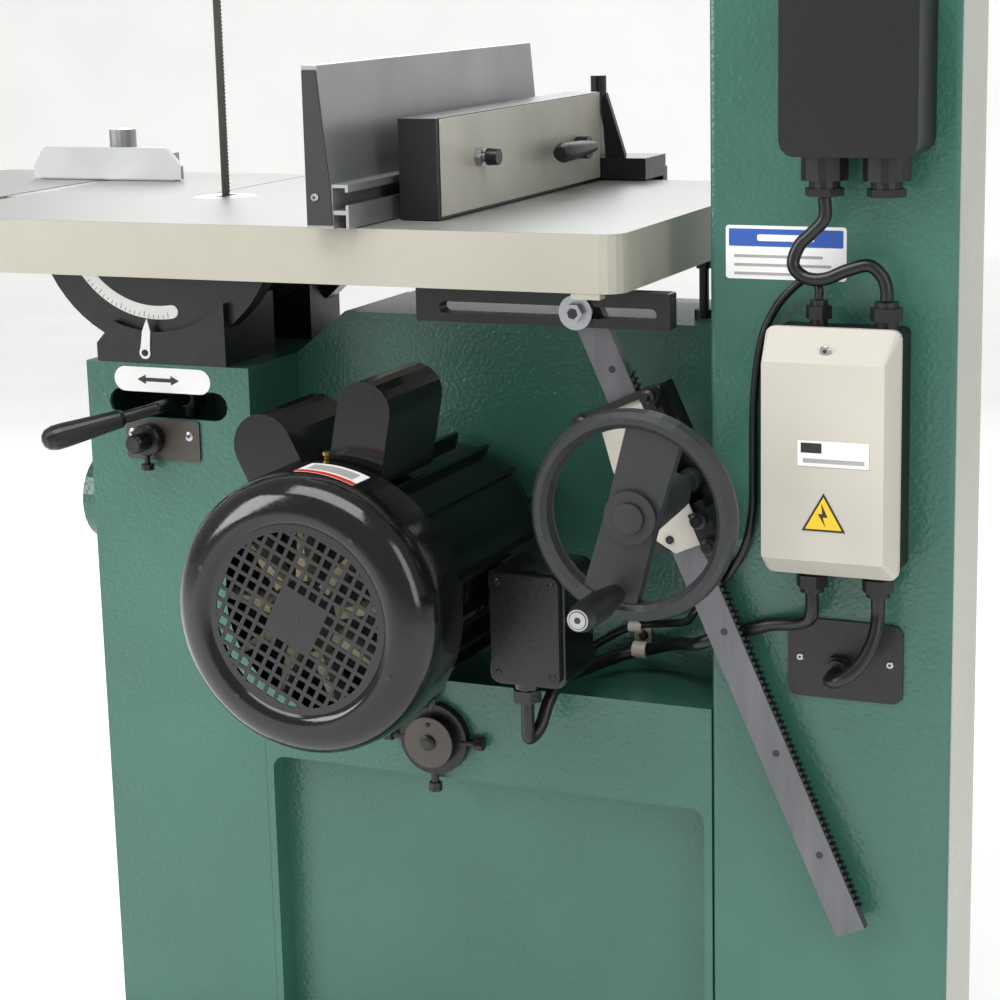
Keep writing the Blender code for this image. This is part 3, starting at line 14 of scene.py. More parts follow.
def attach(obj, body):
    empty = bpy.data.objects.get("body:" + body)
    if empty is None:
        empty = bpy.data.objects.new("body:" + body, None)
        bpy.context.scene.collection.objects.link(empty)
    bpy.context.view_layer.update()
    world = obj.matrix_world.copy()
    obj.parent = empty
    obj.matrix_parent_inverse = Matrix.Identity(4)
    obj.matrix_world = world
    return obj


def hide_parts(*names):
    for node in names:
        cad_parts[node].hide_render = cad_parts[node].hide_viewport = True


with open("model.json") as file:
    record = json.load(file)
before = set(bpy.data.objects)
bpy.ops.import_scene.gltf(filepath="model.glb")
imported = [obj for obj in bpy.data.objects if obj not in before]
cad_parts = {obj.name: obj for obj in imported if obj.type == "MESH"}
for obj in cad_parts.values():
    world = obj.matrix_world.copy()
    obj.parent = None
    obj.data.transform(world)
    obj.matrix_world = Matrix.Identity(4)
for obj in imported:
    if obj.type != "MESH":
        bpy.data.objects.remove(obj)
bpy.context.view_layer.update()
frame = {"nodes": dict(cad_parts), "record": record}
bladeFoot = np.array([0.198, -0.05775, 0.933])
wallY = 160.0  # motor-side face of the column and pedestal
slotBolt = (-490, -79)  # x and z of the rack's upper end
rackLean = 24  # degrees from upright


def place(points):  # millimetres from the blade to the saw's own metres
    return np.asarray(points, float) / 1000 + bladeFoot


def rackPoint(down, across):  # a spot down the tilt rack, and across it towards the column
    lean = math.radians(rackLean)
    x = slotBolt[0] - down * math.sin(lean) - across * math.cos(lean)
    return x, slotBolt[1] - down * math.cos(lean) + across * math.sin(lean)


cameraSettings = {
    "spot": (-1306.5, 2226.8, 242.9),
    "yaw": 23.82,  # degrees
    "pitch": 12.34,
    "roll": -1.35,
    "focal": 85.2,
    "shift": (-0.0063, -0.0235),
}


def makeCamera():
    yaw, pitch, roll = (math.radians(cameraSettings[k]) for k in ("yaw", "pitch", "roll"))
    forward = Vector((math.sin(yaw) * math.cos(pitch), -math.cos(yaw) * math.cos(pitch), -math.sin(pitch)))
    right = Vector((-math.cos(yaw), -math.sin(yaw), 0))
    up = right.cross(forward)
    cameraX = right * math.cos(roll) + up * math.sin(roll)
    cameraY = up * math.cos(roll) - right * math.sin(roll)
    data = bpy.data.cameras.new("camera")
    data.lens = cameraSettings["focal"]
    data.sensor_width = 36
    data.shift_x, data.shift_y = cameraSettings["shift"]
    data.clip_start = 0.05
    camera = bpy.data.objects.new("camera", data)
    turn = Matrix((cameraX, cameraY, -forward)).transposed().to_4x4()
    camera.matrix_world = Matrix.Translation(Vector(place(cameraSettings["spot"]))) @ turn
    bpy.context.scene.collection.objects.link(camera)
    bpy.context.scene.camera = camera


makeCamera()
print("camera ready")


lampSettings = (  # name, place, aim, size, watts
    ("sky panel", (0.2, 1.5, 3.4), (0, 0, 0.8), (2.6, 1.6), 80),
    ("left panel", (2.4, 2.4, 1.9), (0, 0, 0.8), (1.2, 2.0), 62),
    ("right panel", (-2.7, 1.5, 1.7), (0, 0, 0.8), (0.8, 2.2), 22),
    ("rear panel", (0.8, -2.6, 2.4), (0, 0, 1.0), (2.4, 1.8), 45),
)


def areaLight(name, spot, target, size, power):
    data = bpy.data.lights.new(name, "AREA")
    data.shape = "RECTANGLE"
    data.size, data.size_y = size
    data.energy = power
    lamp = bpy.data.objects.new(name, data)
    lamp.location = spot
    lamp.rotation_euler = (Vector(target) - Vector(spot)).to_track_quat("-Z", "Y").to_euler()
    bpy.context.scene.collection.objects.link(lamp)


for lamp in lampSettings:
    areaLight(*lamp)
world = bpy.data.worlds.new("studio")
bpy.context.scene.world = world
world.use_nodes = True
world.node_tree.nodes["Background"].inputs["Color"].default_value = (1, 1, 1, 1)
world.node_tree.nodes["Background"].inputs["Strength"].default_value = 0.42
print("lights ready")
bpy.context.scene.view_settings.view_transform = "Standard"


class Value:  # a socket that can be added, multiplied and compared like a number
    def __init__(self, tree, socket):
        self.tree = tree
        self.socket = socket

    def node(self, kind, settings=None, values=None, output=0):  # adds a node, gives back one output
        made = self.tree.nodes.new(kind)
        for key, value in (settings or {}).items():
            setattr(made, key, value)
        for key, value in (values or {}).items():
            if isinstance(value, Value):
                self.tree.links.new(value.socket, made.inputs[key])
            else:
                made.inputs[key].default_value = value
        return Value(self.tree, made.outputs[output])

    def maths(self, operation, other=0.0, swap=False):
        pair = {0: other, 1: self} if swap else {0: self, 1: other}
        return self.node("ShaderNodeMath", {"operation": operation}, pair)

    def __add__(self, other):
        return self.maths("ADD", other)

    def __sub__(self, other):
        return self.maths("SUBTRACT", other)

    def __rsub__(self, other):
        return self.maths("SUBTRACT", other, True)

    def __mul__(self, other):
        return self.maths("MULTIPLY", other)

    def __gt__(self, other):
        return self.maths("GREATER_THAN", other)

    def __lt__(self, other):
        return self.maths("LESS_THAN", other)

    def between(self, low, high):
        return (self > low) * (self < high)

    def fade(self, low, high, start=0.0, end=1.0):
        return self.node("ShaderNodeMapRange", {"clamp": True}, {0: self, 1: low, 2: high, 3: start, 4: end})

    def mix(self, first, second):  # a colour between two, by this value
        return self.node("ShaderNodeMix", {"data_type": "RGBA"}, {0: self, 6: first, 7: second}, 2)


def colour(r, g, b):
    return (r, g, b, 1.0)


def newMaterial(name):
    material = bpy.data.materials.new(name)
    material.use_nodes = True
    tree = material.node_tree
    shader = tree.nodes["Principled BSDF"]
    coordinates = tree.nodes.new("ShaderNodeTexCoord")
    spot = Value(tree, coordinates.outputs["Object"])
    return material, shader, spot


def feed(shader, spot, values):  # links changing values to the shader and writes the constant ones
    for key, value in values.items():
        if isinstance(value, Value):
            spot.tree.links.new(value.socket, shader.inputs[key])
        else:
            shader.inputs[key].default_value = value


def noise(spot, scale, detail=2.0, rough=0.5):
    values = {"Vector": spot, "Scale": scale, "Detail": detail, "Roughness": rough}
    return spot.node("ShaderNodeTexNoise", None, values)


def axes(spot):
    split = spot.node("ShaderNodeSeparateXYZ", None, {0: spot}).socket.node
    return [Value(spot.tree, split.outputs[k]) for k in range(3)]


def bump(spot, height, strength, distance):
    return spot.node("ShaderNodeBump", None, {"Strength": strength, "Distance": distance, "Height": height})


def plainMaterial(name, base, roughness, metallic=0.0, grain=300.0, depth=0.12, spread=0.12):
    # a finish with slightly uneven colour, roughness and surface
    material, shader, spot = newMaterial(name)
    cloud = noise(spot, 9.0, 4.0)
    fine = noise(spot, grain, 2.0)
    dark = colour(*(c * (1 - spread) for c in base))
    light = colour(*(min(1, c * (1 + spread)) for c in base))
    feed(shader, spot, {
        "Base Color": cloud.fade(0.3, 0.7).mix(dark, light),
        "Roughness": fine.fade(0.3, 0.7, max(0.03, roughness - 0.05), roughness + 0.06),
        "Metallic": metallic,
        "Normal": bump(spot, fine, depth, 0.0004),
    })
    return material


def orangePeel(name, base, sideColour):
    # thick gloss enamel: a dimpled surface, and a second colour on all that lies past the column's outer side
    material, shader, spot = newMaterial(name)
    x, y, z = axes(spot)
    cloud = noise(spot, 5.0, 3.0)
    peel = noise(spot, 240.0, 1.0, 0.4)
    dark = colour(*(c * 0.92 for c in base))
    light = colour(*(c * 1.08 for c in base))
    paint = cloud.fade(0.35, 0.65).mix(dark, light)
    paint = (x < -0.6375).mix(paint, colour(*sideColour))
    feed(shader, spot, {
        "Base Color": paint,
        "Roughness": cloud.fade(0.3, 0.7, 0.26, 0.34),
        "Coat Weight": 0.15,
        "Normal": bump(spot, peel, 0.6, 0.0013),
    })
    shader.inputs["Coat Roughness"].default_value = 0.12
    return material


def tableMaterial():  # ground iron on top, with fine marks along its length, and cream paint on the skirt
    material, shader, spot = newMaterial("table finish")
    x, y, z = axes(spot)
    onTop = z > 0.9326
    stretched = spot.node("ShaderNodeMapping", None, {"Vector": spot, "Scale": (6.0, 260.0, 1.0)})
    marks = noise(stretched, 3.0, 5.0, 0.6)
    cloud = noise(spot, 6.0, 4.0)
    hammered = noise(spot, 160.0, 1.0)
    ground = marks.fade(0.3, 0.7).mix(colour(0.23, 0.232, 0.225), colour(0.30, 0.30, 0.29))
    cream = cloud.fade(0.3, 0.7).mix(colour(0.36, 0.345, 0.285), colour(0.405, 0.39, 0.325))
    feed(shader, spot, {
        "Base Color": onTop.mix(cream, ground),
        "Metallic": onTop * 0.15,
        "Roughness": onTop * (marks * 0.2 + 0.34 - 0.45) + 0.45,
        "Normal": bump(spot, onTop * (marks - hammered * 0.8) + hammered * 0.8, 0.25, 0.0003),
    })
    return material


def rackMaterial():  # blue-grey bar with faint lengthwise streaks
    material, shader, spot = newMaterial("rack steel")
    alongRack = {"Vector": spot, "Rotation": (0, math.radians(-rackLean), 0), "Scale": (40.0, 12.0, 3.0)}
    turned = spot.node("ShaderNodeMapping", None, alongRack)
    streaks = noise(turned, 1.6, 6.0, 0.6)
    cloud = noise(spot, 14.0, 4.0)
    tone = streaks.fade(0.3, 0.72).mix(colour(0.12, 0.122, 0.135), colour(0.19, 0.192, 0.205))
    tone = cloud.fade(0.3, 0.75, 0.0, 0.35).mix(tone, colour(0.09, 0.085, 0.085))
    feed(shader, spot, {
        "Base Color": tone,
        "Metallic": 0.75,
        "Roughness": streaks.fade(0.3, 0.7, 0.3, 0.48),
        "Normal": bump(spot, streaks, 0.12, 0.0003),
    })
    return material


grilleSettings = {
    "centre": (-290, 0, -341),
    "turn": 27,  # degrees
    "pitch": 0.0118,  # metres, as are the next two
    "rim": 0.083,
    "middle": 0.0236,
    "bar": 0.16,  # share of the pitch
}


def grilleMaterial():  # gloss black steel, pierced with a grid of small squares inside a circle
    material, shader, spot = newMaterial("grille")
    size = grilleSettings
    turn = math.radians(size["turn"])
    centre = place(size["centre"])
    x, y, z = axes(spot)
    across = (x - centre[0]) * math.cos(turn) + (z - centre[2]) * math.sin(turn)
    up = (z - centre[2]) * math.cos(turn) - (x - centre[0]) * math.sin(turn)
    cellX = (across * (1 / size["pitch"])).maths("FRACT")
    cellZ = (up * (1 / size["pitch"])).maths("FRACT")
    bar = size["bar"]
    hole = cellX.between(bar, 1 - bar) * cellZ.between(bar, 1 - bar)
    distance = (across * across + up * up).maths("SQRT")
    half = size["middle"]
    middle = across.between(-half, half) * up.between(-half, half)
    hole = hole * (distance < size["rim"]) * (1 - middle)
    fine = noise(spot, 300.0, 1.0)
    feed(shader, spot, {
        "Base Color": colour(0.012, 0.012, 0.013),
        "Roughness": fine.fade(0.3, 0.7, 0.2, 0.27),
        "Alpha": 1 - hole,
        "Normal": bump(spot, fine, 0.05, 0.0002),
    })
    return material


looks = {
    "green_paint": orangePeel("green enamel", (0.038, 0.134, 0.101), (0.34, 0.35, 0.29)),
    "cream_paint": tableMaterial(),
    "black_paint": plainMaterial("black gloss", (0.005, 0.005, 0.0055), 0.13, depth=0.05),
    "cast_iron": plainMaterial("dark casting", (0.0075, 0.0075, 0.0085), 0.34, 0.0, 240.0, 0.35),
    "black_plastic": plainMaterial("black plastic", (0.0045, 0.0045, 0.005), 0.42, grain=700.0),
    "grey_plastic": plainMaterial("pale plastic", (0.52, 0.50, 0.435), 0.42, grain=900.0, spread=0.03),
    "steel": plainMaterial("ground steel", (0.42, 0.43, 0.45), 0.3, 1.0),
    "blackened_steel": plainMaterial("blackened steel", (0.006, 0.006, 0.0068), 0.34, 0.1),
    "aluminium": plainMaterial("aluminium", (0.36, 0.365, 0.37), 0.4, 0.75, 500.0, 0.06),
    "rubber": plainMaterial("black rubber", (0.005, 0.005, 0.005), 0.34, grain=400.0),
    "red_plastic": plainMaterial("red plastic", (0.5, 0.015, 0.012), 0.3),
    "green_plastic": plainMaterial("green button plastic", (0.02, 0.32, 0.07), 0.3),
    "rack": rackMaterial(),
    "handwheel": plainMaterial("grey-black moulding", (0.018, 0.0195, 0.022), 0.46, grain=900.0, depth=0.25),
    "oiled_steel": plainMaterial("oiled steel", (0.075, 0.068, 0.060), 0.42, 0.5, 260.0, 0.3),
    "cream_plate": plainMaterial("pale plate", (0.52, 0.49, 0.43), 0.4),
    "white": plainMaterial("white print", (0.85, 0.85, 0.84), 0.4, spread=0.02),
    "blue": plainMaterial("blue print", (0.03, 0.10, 0.42), 0.4, spread=0.04),
    "ink": plainMaterial("black print", (0.02, 0.02, 0.02), 0.5),
    "yellow": plainMaterial("yellow print", (0.85, 0.55, 0.02), 0.4, spread=0.03),
    "red": plainMaterial("red print", (0.6, 0.03, 0.02), 0.4),
    "grey_print": plainMaterial("grey print", (0.35, 0.35, 0.34), 0.5),
    "brass": plainMaterial("brass screw", (0.55, 0.38, 0.12), 0.3, 1.0),
    "copper": plainMaterial("windings behind the grille", (0.30, 0.27, 0.17), 0.5, 0.3, 60.0, 0.3, 0.7),
    "grille": grilleMaterial(),
}
slotOf = {entry["node"]: entry["material_slot"] for entry in frame["record"]["subparts"]}
ownLook = {
    "tilt_rack": "rack",
    "tilt_handwheel": "handwheel",
    "crank_handle": "black_plastic",
    "slot_bolt": "steel",
    "lower_wheel_shaft": "blackened_steel",
    "cable_plate": "cast_iron",
    "blade": "oiled_steel",
    "guide_handwheel": "handwheel",
}
for node, item in frame["nodes"].items():
    item.data.materials.clear()
    item.data.materials.append(looks[ownLook.get(node, slotOf[node])])
print("materials ready")


def addPiece(name, points, faces, look, body, smooth=False):
    # one closed mesh with its faces turned outward, riding on a body
    name = name.replace(" ", "_")
    mesh = bpy.data.meshes.new(name)
    mesh.from_pydata([tuple(p) for p in place(points)], [], [tuple(int(k) for k in f) for f in faces])
    mesh.validate()
    mesh.materials.append(looks[look])
    item = bpy.data.objects.new(name, mesh)
    bpy.context.scene.collection.objects.link(item)
    work = bmesh.new()
    work.from_mesh(mesh)
    bmesh.ops.recalc_face_normals(work, faces=work.faces)
    if work.calc_volume(signed=True) < 0:
        bmesh.ops.reverse_faces(work, faces=work.faces)
    work.to_mesh(mesh)
    work.free()
    if smooth:
        mesh.shade_smooth()
        mesh.set_sharp_from_angle(angle=math.radians(35))
    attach(item, body)
    return item


cableRoutes = {  # diameter, then the points of the route
    "cable_supply": (12, [
        (-723, 194, 30), (-723, 194, 12), (-712, 194, -1), (-700, 194, -13), (-695, 196, -30),
        (-706, 197, -41), (-724, 197, -42), (-744, 193, -34), (-762, 188, -30), (-774, 186, -40),
        (-778, 186, -52), (-778, 186, -60.5),
    ]),
    "cable_control": (8, [
        (-716, 186, -60.5), (-716, 186, -52), (-710, 183, -45), (-697, 176, -47), (-680, 172, -62),
        (-668, 169, -78), (-658, 168, -100), (-652, 167, -130), (-649, 167, -165), (-648, 166, -200),
        (-648, 166, -235), (-647, 166, -268), (-640, 166, -300), (-626, 166, -326), (-606, 165.5, -350),
        (-588, 158, -370), (-572, 134, -388), (-550, 98, -402), (-522, 74, -412), (-500, 66, -417),
        (-480, 66, -424), (-462, 67, -434), (-450, 69, -442), (-443, 67, -447), (-441, 61, -448),
        (-441, 55, -448),
    ]),
    "cable_motor": (13, [
        (-711, 186, -334), (-711, 186, -352), (-706, 182, -362), (-690, 175, -369), (-666, 168, -374),
        (-640, 167.1, -383), (-616, 167.2, -391), (-600, 169, -397), (-588, 160, -403), (-576, 134, -412),
        (-546, 98, -424), (-508, 74, -440), (-484, 80, -446), (-468, 100, -450), (-456, 130, -452),
        (-448, 160, -453), (-443, 181, -470), (-439, 194, -492), (-433, 207, -500), (-434, 212, -484),
        (-434, 212, -460.5),
    ]),
    "cable_outlet": (13, [
        (-773, 186, -334), (-773, 186, -352), (-772, 192, -368), (-766, 200, -386), (-755, 207, -401),
        (-742, 208, -410), (-733, 201, -413), (-731, 192, -413), (-731, 177, -413),
    ]),
}


def heldCable(node, diameter, route):
    # a round tube: a Catmull-Rom curve through the route, and round each of its points
    # radius * (normal * cos + binormal * sin)
    knots = np.array(route, float)
    knots = np.vstack([2 * knots[0] - knots[1], knots, 2 * knots[-1] - knots[-2]])
    t = (np.arange(8) / 8)[None, :, None]
    a, b, c, d = (knots[k:len(knots) - 3 + k][:, None, :] for k in range(4))
    bend = (2 * a - 5 * b + 4 * c - d) * t ** 2 + (3 * b - a - 3 * c + d) * t ** 3
    curve = 0.5 * (2 * b + (c - a) * t + bend)
    line = np.vstack([curve.reshape(-1, 3), knots[-2]])
    tangent = np.gradient(line, axis=0)
    tangent /= np.linalg.norm(tangent, axis=1)[:, None]
    normal = np.cross(tangent, np.array((0.55, 0.62, 0.56)))
    normal /= np.linalg.norm(normal, axis=1)[:, None]
    binormal = np.cross(tangent, normal)
    steps = 16
    around = np.linspace(0, 2 * math.pi, steps, endpoint=False)[None, :, None]
    outward = normal[:, None, :] * np.cos(around) + binormal[:, None, :] * np.sin(around)
    points = line[:, None, :] + diameter / 2 * outward
    ids = np.arange(len(line) * steps).reshape(len(line), steps)
    lower, upper = ids[:-1], ids[1:]
    quads = np.stack([lower, np.roll(lower, -1, 1), np.roll(upper, -1, 1), upper], -1).reshape(-1, 4)
    faces = list(quads) + [ids[0][::-1], ids[-1]]
    tube = addPiece(node + " smooth", points.reshape(-1, 3), faces, "rubber", "machine", True)
    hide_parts(node)


for node, (diameter, route) in cableRoutes.items():
    heldCable(node, diameter, route)
print("cables ready")


axisOrder = {"x": (1, 2, 0), "y": (0, 2, 1), "z": (0, 1, 2)}


def slab(name, outline, axis, low, high, look, body):  # an outline carried along an axis from low to high
    outline = np.asarray(outline, float)
    count = len(outline)
    points = np.zeros((2 * count, 3))
    first, second, along = axisOrder[axis]
    points[:, first] = np.tile(outline[:, 0], 2)
    points[:, second] = np.tile(outline[:, 1], 2)
    points[:count, along] = low
    points[count:, along] = high
    ring = np.arange(count)
    after = (ring + 1) % count
    faces = list(np.stack([ring, after, after + count, ring + count], 1))
    faces += [ring[::-1], ring + count]
    return addPiece(name, points, faces, look, body)


def turnedPiece(name, profile, axis, centre, look, body, steps=32):
    # radius and height pairs turned about an axis: centre + radius * (cos, sin), and the height along it
    profile = np.asarray(profile, float)
    angles = np.linspace(0, 2 * math.pi, steps, endpoint=False)
    first, second, along = axisOrder[axis]
    rows = len(profile)
    points = np.zeros((rows, steps, 3))
    points[..., first] = centre[0] + profile[:, :1] * np.cos(angles)
    points[..., second] = centre[1] + profile[:, :1] * np.sin(angles)
    points[..., along] = profile[:, 1:]
    ids = np.arange(rows * steps).reshape(rows, steps)
    lower, upper = ids[:-1], ids[1:]
    quads = np.stack([lower, np.roll(lower, -1, 1), np.roll(upper, -1, 1), upper], -1).reshape(-1, 4)
    faces = list(quads) + [ids[0][::-1], ids[-1]]
    return addPiece(name, points.reshape(-1, 3), faces, look, body, True)


def roundedBox(x, z, radius, steps=5):  # a rectangle's outline with round corners
    spots = []
    for cx, cz, start in ((x[1], z[1], 0), (x[0], z[1], 90), (x[0], z[0], 180), (x[1], z[0], 270)):
        mx = cx - radius if cx == x[1] else cx + radius
        mz = cz - radius if cz == z[1] else cz + radius
        angles = np.radians(np.linspace(start, start + 90, steps + 1))
        spots += list(zip(mx + radius * np.cos(angles), mz + radius * np.sin(angles)))
    return spots


def hexagon(centre, radius, turn=0.0):
    angles = np.radians(np.arange(6) * 60 + turn)
    return list(zip(centre[0] + radius * np.cos(angles), centre[1] + radius * np.sin(angles)))


def screw(name, spot, y, radius, look, body, tall=2.5):
    # a pan-head screw with a dark socket, facing the motor side
    profile = [(radius, y), (radius, y + tall * 0.5), (radius * 0.8, y + tall)]
    turnedPiece(name, profile, "y", spot, look, body, 16)
    socket = [(radius * 0.4, y + tall * 0.5), (radius * 0.4, y + tall + 0.1)]
    turnedPiece(name + " socket", socket, "y", spot, "ink", body, 6)


pedestalSettings = {
    "label": roundedBox((-65, 50), (-188, -162), 12.9),
    "arrow": [(-28, -175), (-18, -170), (-18, -173), (12, -173), (12, -170),
              (22, -175), (12, -180), (12, -177), (-18, -177), (-18, -180)],
    "plate": roundedBox((-50, 38), (-259, -216), 4),
    "plateFace": wallY + 2.6,
    "boss": (8, -237),
    "bossEnd": wallY + 38,
    "thumbScrew": (8, wallY + 12),
    "screwSpots": ((-38, -232), (30, -232)),
}


def pedestalPieces():
    size = pedestalSettings
    slab("lever label", size["label"], "y", wallY + 0.1, wallY + 0.4, "white", "machine")
    slab("lever label arrow", size["arrow"], "y", wallY + 0.45, wallY + 0.6, "ink", "machine")
    slab("lock plate", size["plate"], "y", wallY + 0.1, size["plateFace"], "oiled_steel", "machine")
    collar = [(17, wallY + 2.7), (17, wallY + 14), (15, wallY + 16)]
    knob = collar + [(10, wallY + 16.5), (10, wallY + 36), (8.5, size["bossEnd"])]
    turnedPiece("lock plate boss", knob, "y", size["boss"], "blackened_steel", "machine")
    face = [(7.6, size["bossEnd"] + 0.1), (7.6, size["bossEnd"] + 0.6)]
    turnedPiece("lock plate boss end", face, "y", size["boss"], "handwheel", "machine", 20)
    thumb = size["thumbScrew"]
    stem = [(3, -262), (3, -252)]
    turnedPiece("lock plate thumb screw", stem, "z", thumb, "blackened_steel", "machine", 12)
    turnedPiece("lock plate thumb wing", [(7, -268), (7, -262)], "z", thumb, "blackened_steel", "machine", 8)
    for spot in size["screwSpots"]:
        screw(f"lock plate screw {spot[0]}", spot, size["plateFace"], 5, "steel", "machine", 1.2)


pedestalPieces()


scaleSettings = {
    "face": 151.0,  # rear face of the trunnion
    "start": -100,  # degrees round the trunnion
    "end": -38,
    "outer": 113,
    "inner": 99,
    "marks": 19,
    "markStep": 3,
    "pointerEnd": (11, -147),
}


def scalePieces():
    size = scaleSettings
    rearFace, start = size["face"], size["start"]
    outer = np.radians(np.linspace(start, size["end"], 28))
    cap = np.radians(np.linspace(0, 180, 7))[1:-1]
    band = list(zip(size["outer"] * np.cos(outer), size["outer"] * np.sin(outer)))
    band += list(zip(size["inner"] * np.cos(outer[::-1]), size["inner"] * np.sin(outer[::-1])))
    inward = np.array((math.cos(outer[0]), math.sin(outer[0])))
    halfWidth = (size["outer"] - size["inner"]) / 2
    middle = (size["inner"] + halfWidth) * inward
    back = np.array((inward[1], -inward[0]))
    band += [tuple(middle - halfWidth * math.cos(a) * inward + halfWidth * math.sin(a) * back) for a in cap]
    slab("tilt scale", band, "y", rearFace + 0.1, rearFace + 0.4, "white", "table")
    markTop = size["outer"] - 1
    for index in range(size["marks"]):
        angle = math.radians(start + 3 + index * size["markStep"])
        tall = 6 if index % 5 == 0 else 3.5  # every fifth mark is longer
        along = np.array((math.cos(angle), math.sin(angle)))
        side = np.array((-along[1], along[0])) * 0.3
        top, bottom = markTop * along, (markTop - tall) * along
        mark = [top - side, top + side, bottom + side, bottom - side]
        slab(f"tilt scale mark {index}", mark, "y", rearFace + 0.45, rearFace + 0.55, "ink", "table")
    x, z = size["pointerEnd"]
    tip = [(7, -111), (13, -124), (16, -142)]
    tip += [(x + 6.5 * math.cos(a), z + 6.5 * math.sin(a)) for a in np.radians(np.linspace(20, -200, 10))]
    tip += [(5, -142), (3.5, -124)]
    slab("tilt pointer", tip[::-1], "y", wallY - 0.3, wallY + 0.8, "white", "machine")
    screw("tilt pointer screw", size["pointerEnd"], wallY + 0.8, 3.5, "blackened_steel", "machine", 2)
    split = [(12, -157), (13, -157), (13, -127), (12, -127)]
    slab("saddle split", split, "y", wallY - 0.45, wallY - 0.3, "ink", "machine")


scalePieces()


rackSettings = {
    "front": 187.5,
    "back": 176.0,
    "firstTooth": 70,  # distances down the rack from the slot bolt
    "holes": (62, 330, 455, 560),
    "teeth": 88,
    "pitch": 6.28,
    "root": 15.7,
    "crest": 18.6,
    "bar": 12.5,
}


def rackPieces():
    size = rackSettings
    front, first, pitch, count = size["front"], size["firstTooth"], size["pitch"], size["teeth"]
    steps = np.arange(count)[:, None] * pitch + np.array([0.0, 1.5, 3.1, 4.6])[None, :] + first
    across = np.tile(np.array([size["root"], size["crest"], size["crest"], size["root"]]), (count, 1))
    teeth = [rackPoint(d, a) for d, a in zip(steps.ravel(), across.ravel())]
    outline = [rackPoint(first, size["bar"])] + teeth + [rackPoint(first + count * pitch, size["bar"])]
    slab("rack teeth", outline, "y", size["back"] + 0.5, front - 0.5, "blackened_steel", "tilt_rack")
    for down in size["holes"]:
        hole = [(3.6, front), (3.6, front + 0.15)]
        turnedPiece(f"rack hole {down}", hole, "y", rackPoint(down, 2), "ink", "tilt_rack", 16)
    slab("slot bolt socket", hexagon(slotBolt, 5.5, 15), "y", 217.2, 217.9, "ink", "slot_bolt")


rackPieces()


gearboxSettings = {
    "coverBack": 194.4,
    "coverFront": 196.8,
    # down and across the rack
    "corners": ((94, -26), (150, -34), (214, -30), (244, -8), (244, 24), (94, 22)),
    "screws": (104, 230),
    "bolts": (-42, 30),
    "rollers": (222, 248),
}


def rackBlock(down, across):  # a rectangle lying along the rack
    return [rackPoint(down[0], across[0]), rackPoint(down[1], across[0]),
            rackPoint(down[1], across[1]), rackPoint(down[0], across[1])]


def gearboxPieces():
    size = gearboxSettings
    corners = [rackPoint(down, across) for down, across in size["corners"]]
    slab("gearbox cover", corners, "y", size["coverBack"], size["coverFront"], "cream_plate", "machine")
    for down in size["screws"]:
        spot = rackPoint(down, -8)
        screw(f"gearbox cover screw {down}", spot, size["coverFront"], 4, "blackened_steel", "machine")
    bracket = rackBlock((90, 97), (-52, 30))
    slab("upper guide bracket", bracket, "y", 175.5, 200, "blackened_steel", "machine")
    bolt = [(7, 172), (7, 204), (4, 206), (4, 214)]
    for across in size["bolts"]:
        spot = rackPoint(98, across)
        turnedPiece(f"upper guide bolt {across}", bolt, "y", spot, "blackened_steel", "machine", 16)
        slab(f"upper guide nut {across}", hexagon(spot, 10), "y", 190, 199, "blackened_steel", "machine")
    slab("upper roller block", rackBlock((92, 112), (20, 32)), "y", 165.5, 198, "blackened_steel", "machine")
    slab("lower roller block", rackBlock((214, 258), (20, 40)), "y", 175, 201, "blackened_steel", "machine")
    roller = [(8, 201), (8, 209), (5, 210), (5, 215)]
    for down in size["rollers"]:
        spot = rackPoint(down, 30)
        turnedPiece(f"lower roller {down}", roller, "y", spot, "blackened_steel", "machine", 16)


gearboxPieces()


handwheelSettings = {
    "axis": (-590, -238),
    "handleRadius": 70,
    "handleAngle": 10,  # degrees from straight down
    "handleEnd": 433.5,
    "capRadius": 13,
}


def handwheelPieces():
    size = handwheelSettings
    x, z = size["axis"]
    lean = math.radians(size["handleAngle"])
    spot = (x + size["handleRadius"] * math.sin(lean), z - size["handleRadius"] * math.cos(lean))
    top = size["handleEnd"]
    turnedPiece("crank ring", [(9.5, top), (9.5, top + 0.3)], "y", spot, "steel", "crank_handle")
    turnedPiece("crank ring gap", [(8.2, top + 0.31), (8.2, top + 0.4)], "y", spot, "ink", "crank_handle")
    turnedPiece("crank bolt", [(7.4, top + 0.41), (7.4, top + 0.9)], "y", spot, "steel", "crank_handle")
    slab("crank bolt socket", hexagon(spot, 3.2), "y", top + 0.9, top + 1.0, "ink", "crank_handle")
    cap = size["capRadius"]
    ring = [(cap + 0.6, 342.6), (cap + 0.6, 343.2), (cap + 0.2, 343.3)]
    turnedPiece("handwheel cap edge", ring, "y", size["axis"], "ink", "tilt_handwheel")


handwheelPieces()


motorSettings = {
    "axis": (-290, -341),
    "coverOutside": [(131, 332), (133.5, 332), (133.5, 372), (131.5, 388), (126, 399), (117, 406.5),
                     (106, 410.5), (98, 411.4), (93, 409.6), (90, 406.5)],
    "coverInside": [(88, 404.5), (91, 405), (96, 408.5), (105, 408), (115, 404),
                    (123, 396), (128.5, 386), (131, 371)],
    "vanes": 9,
    "vane": [(-6, 34), (6, 34), (2, 82), (-3, 82)],
    "screws": ((-92, -42), (92, 42), (-60, 78), (62, -76)),
    "labels": (  # name, radius, low, high, look, first and last degree
        ("motor label", 134.1, 346, 381, "white", 86, 112),
        ("motor label band", 134.4, 374, 381, "red", 86, 112),
        ("motor label text", 134.4, 352, 370, "grey_print", 89, 109),
    ),
}


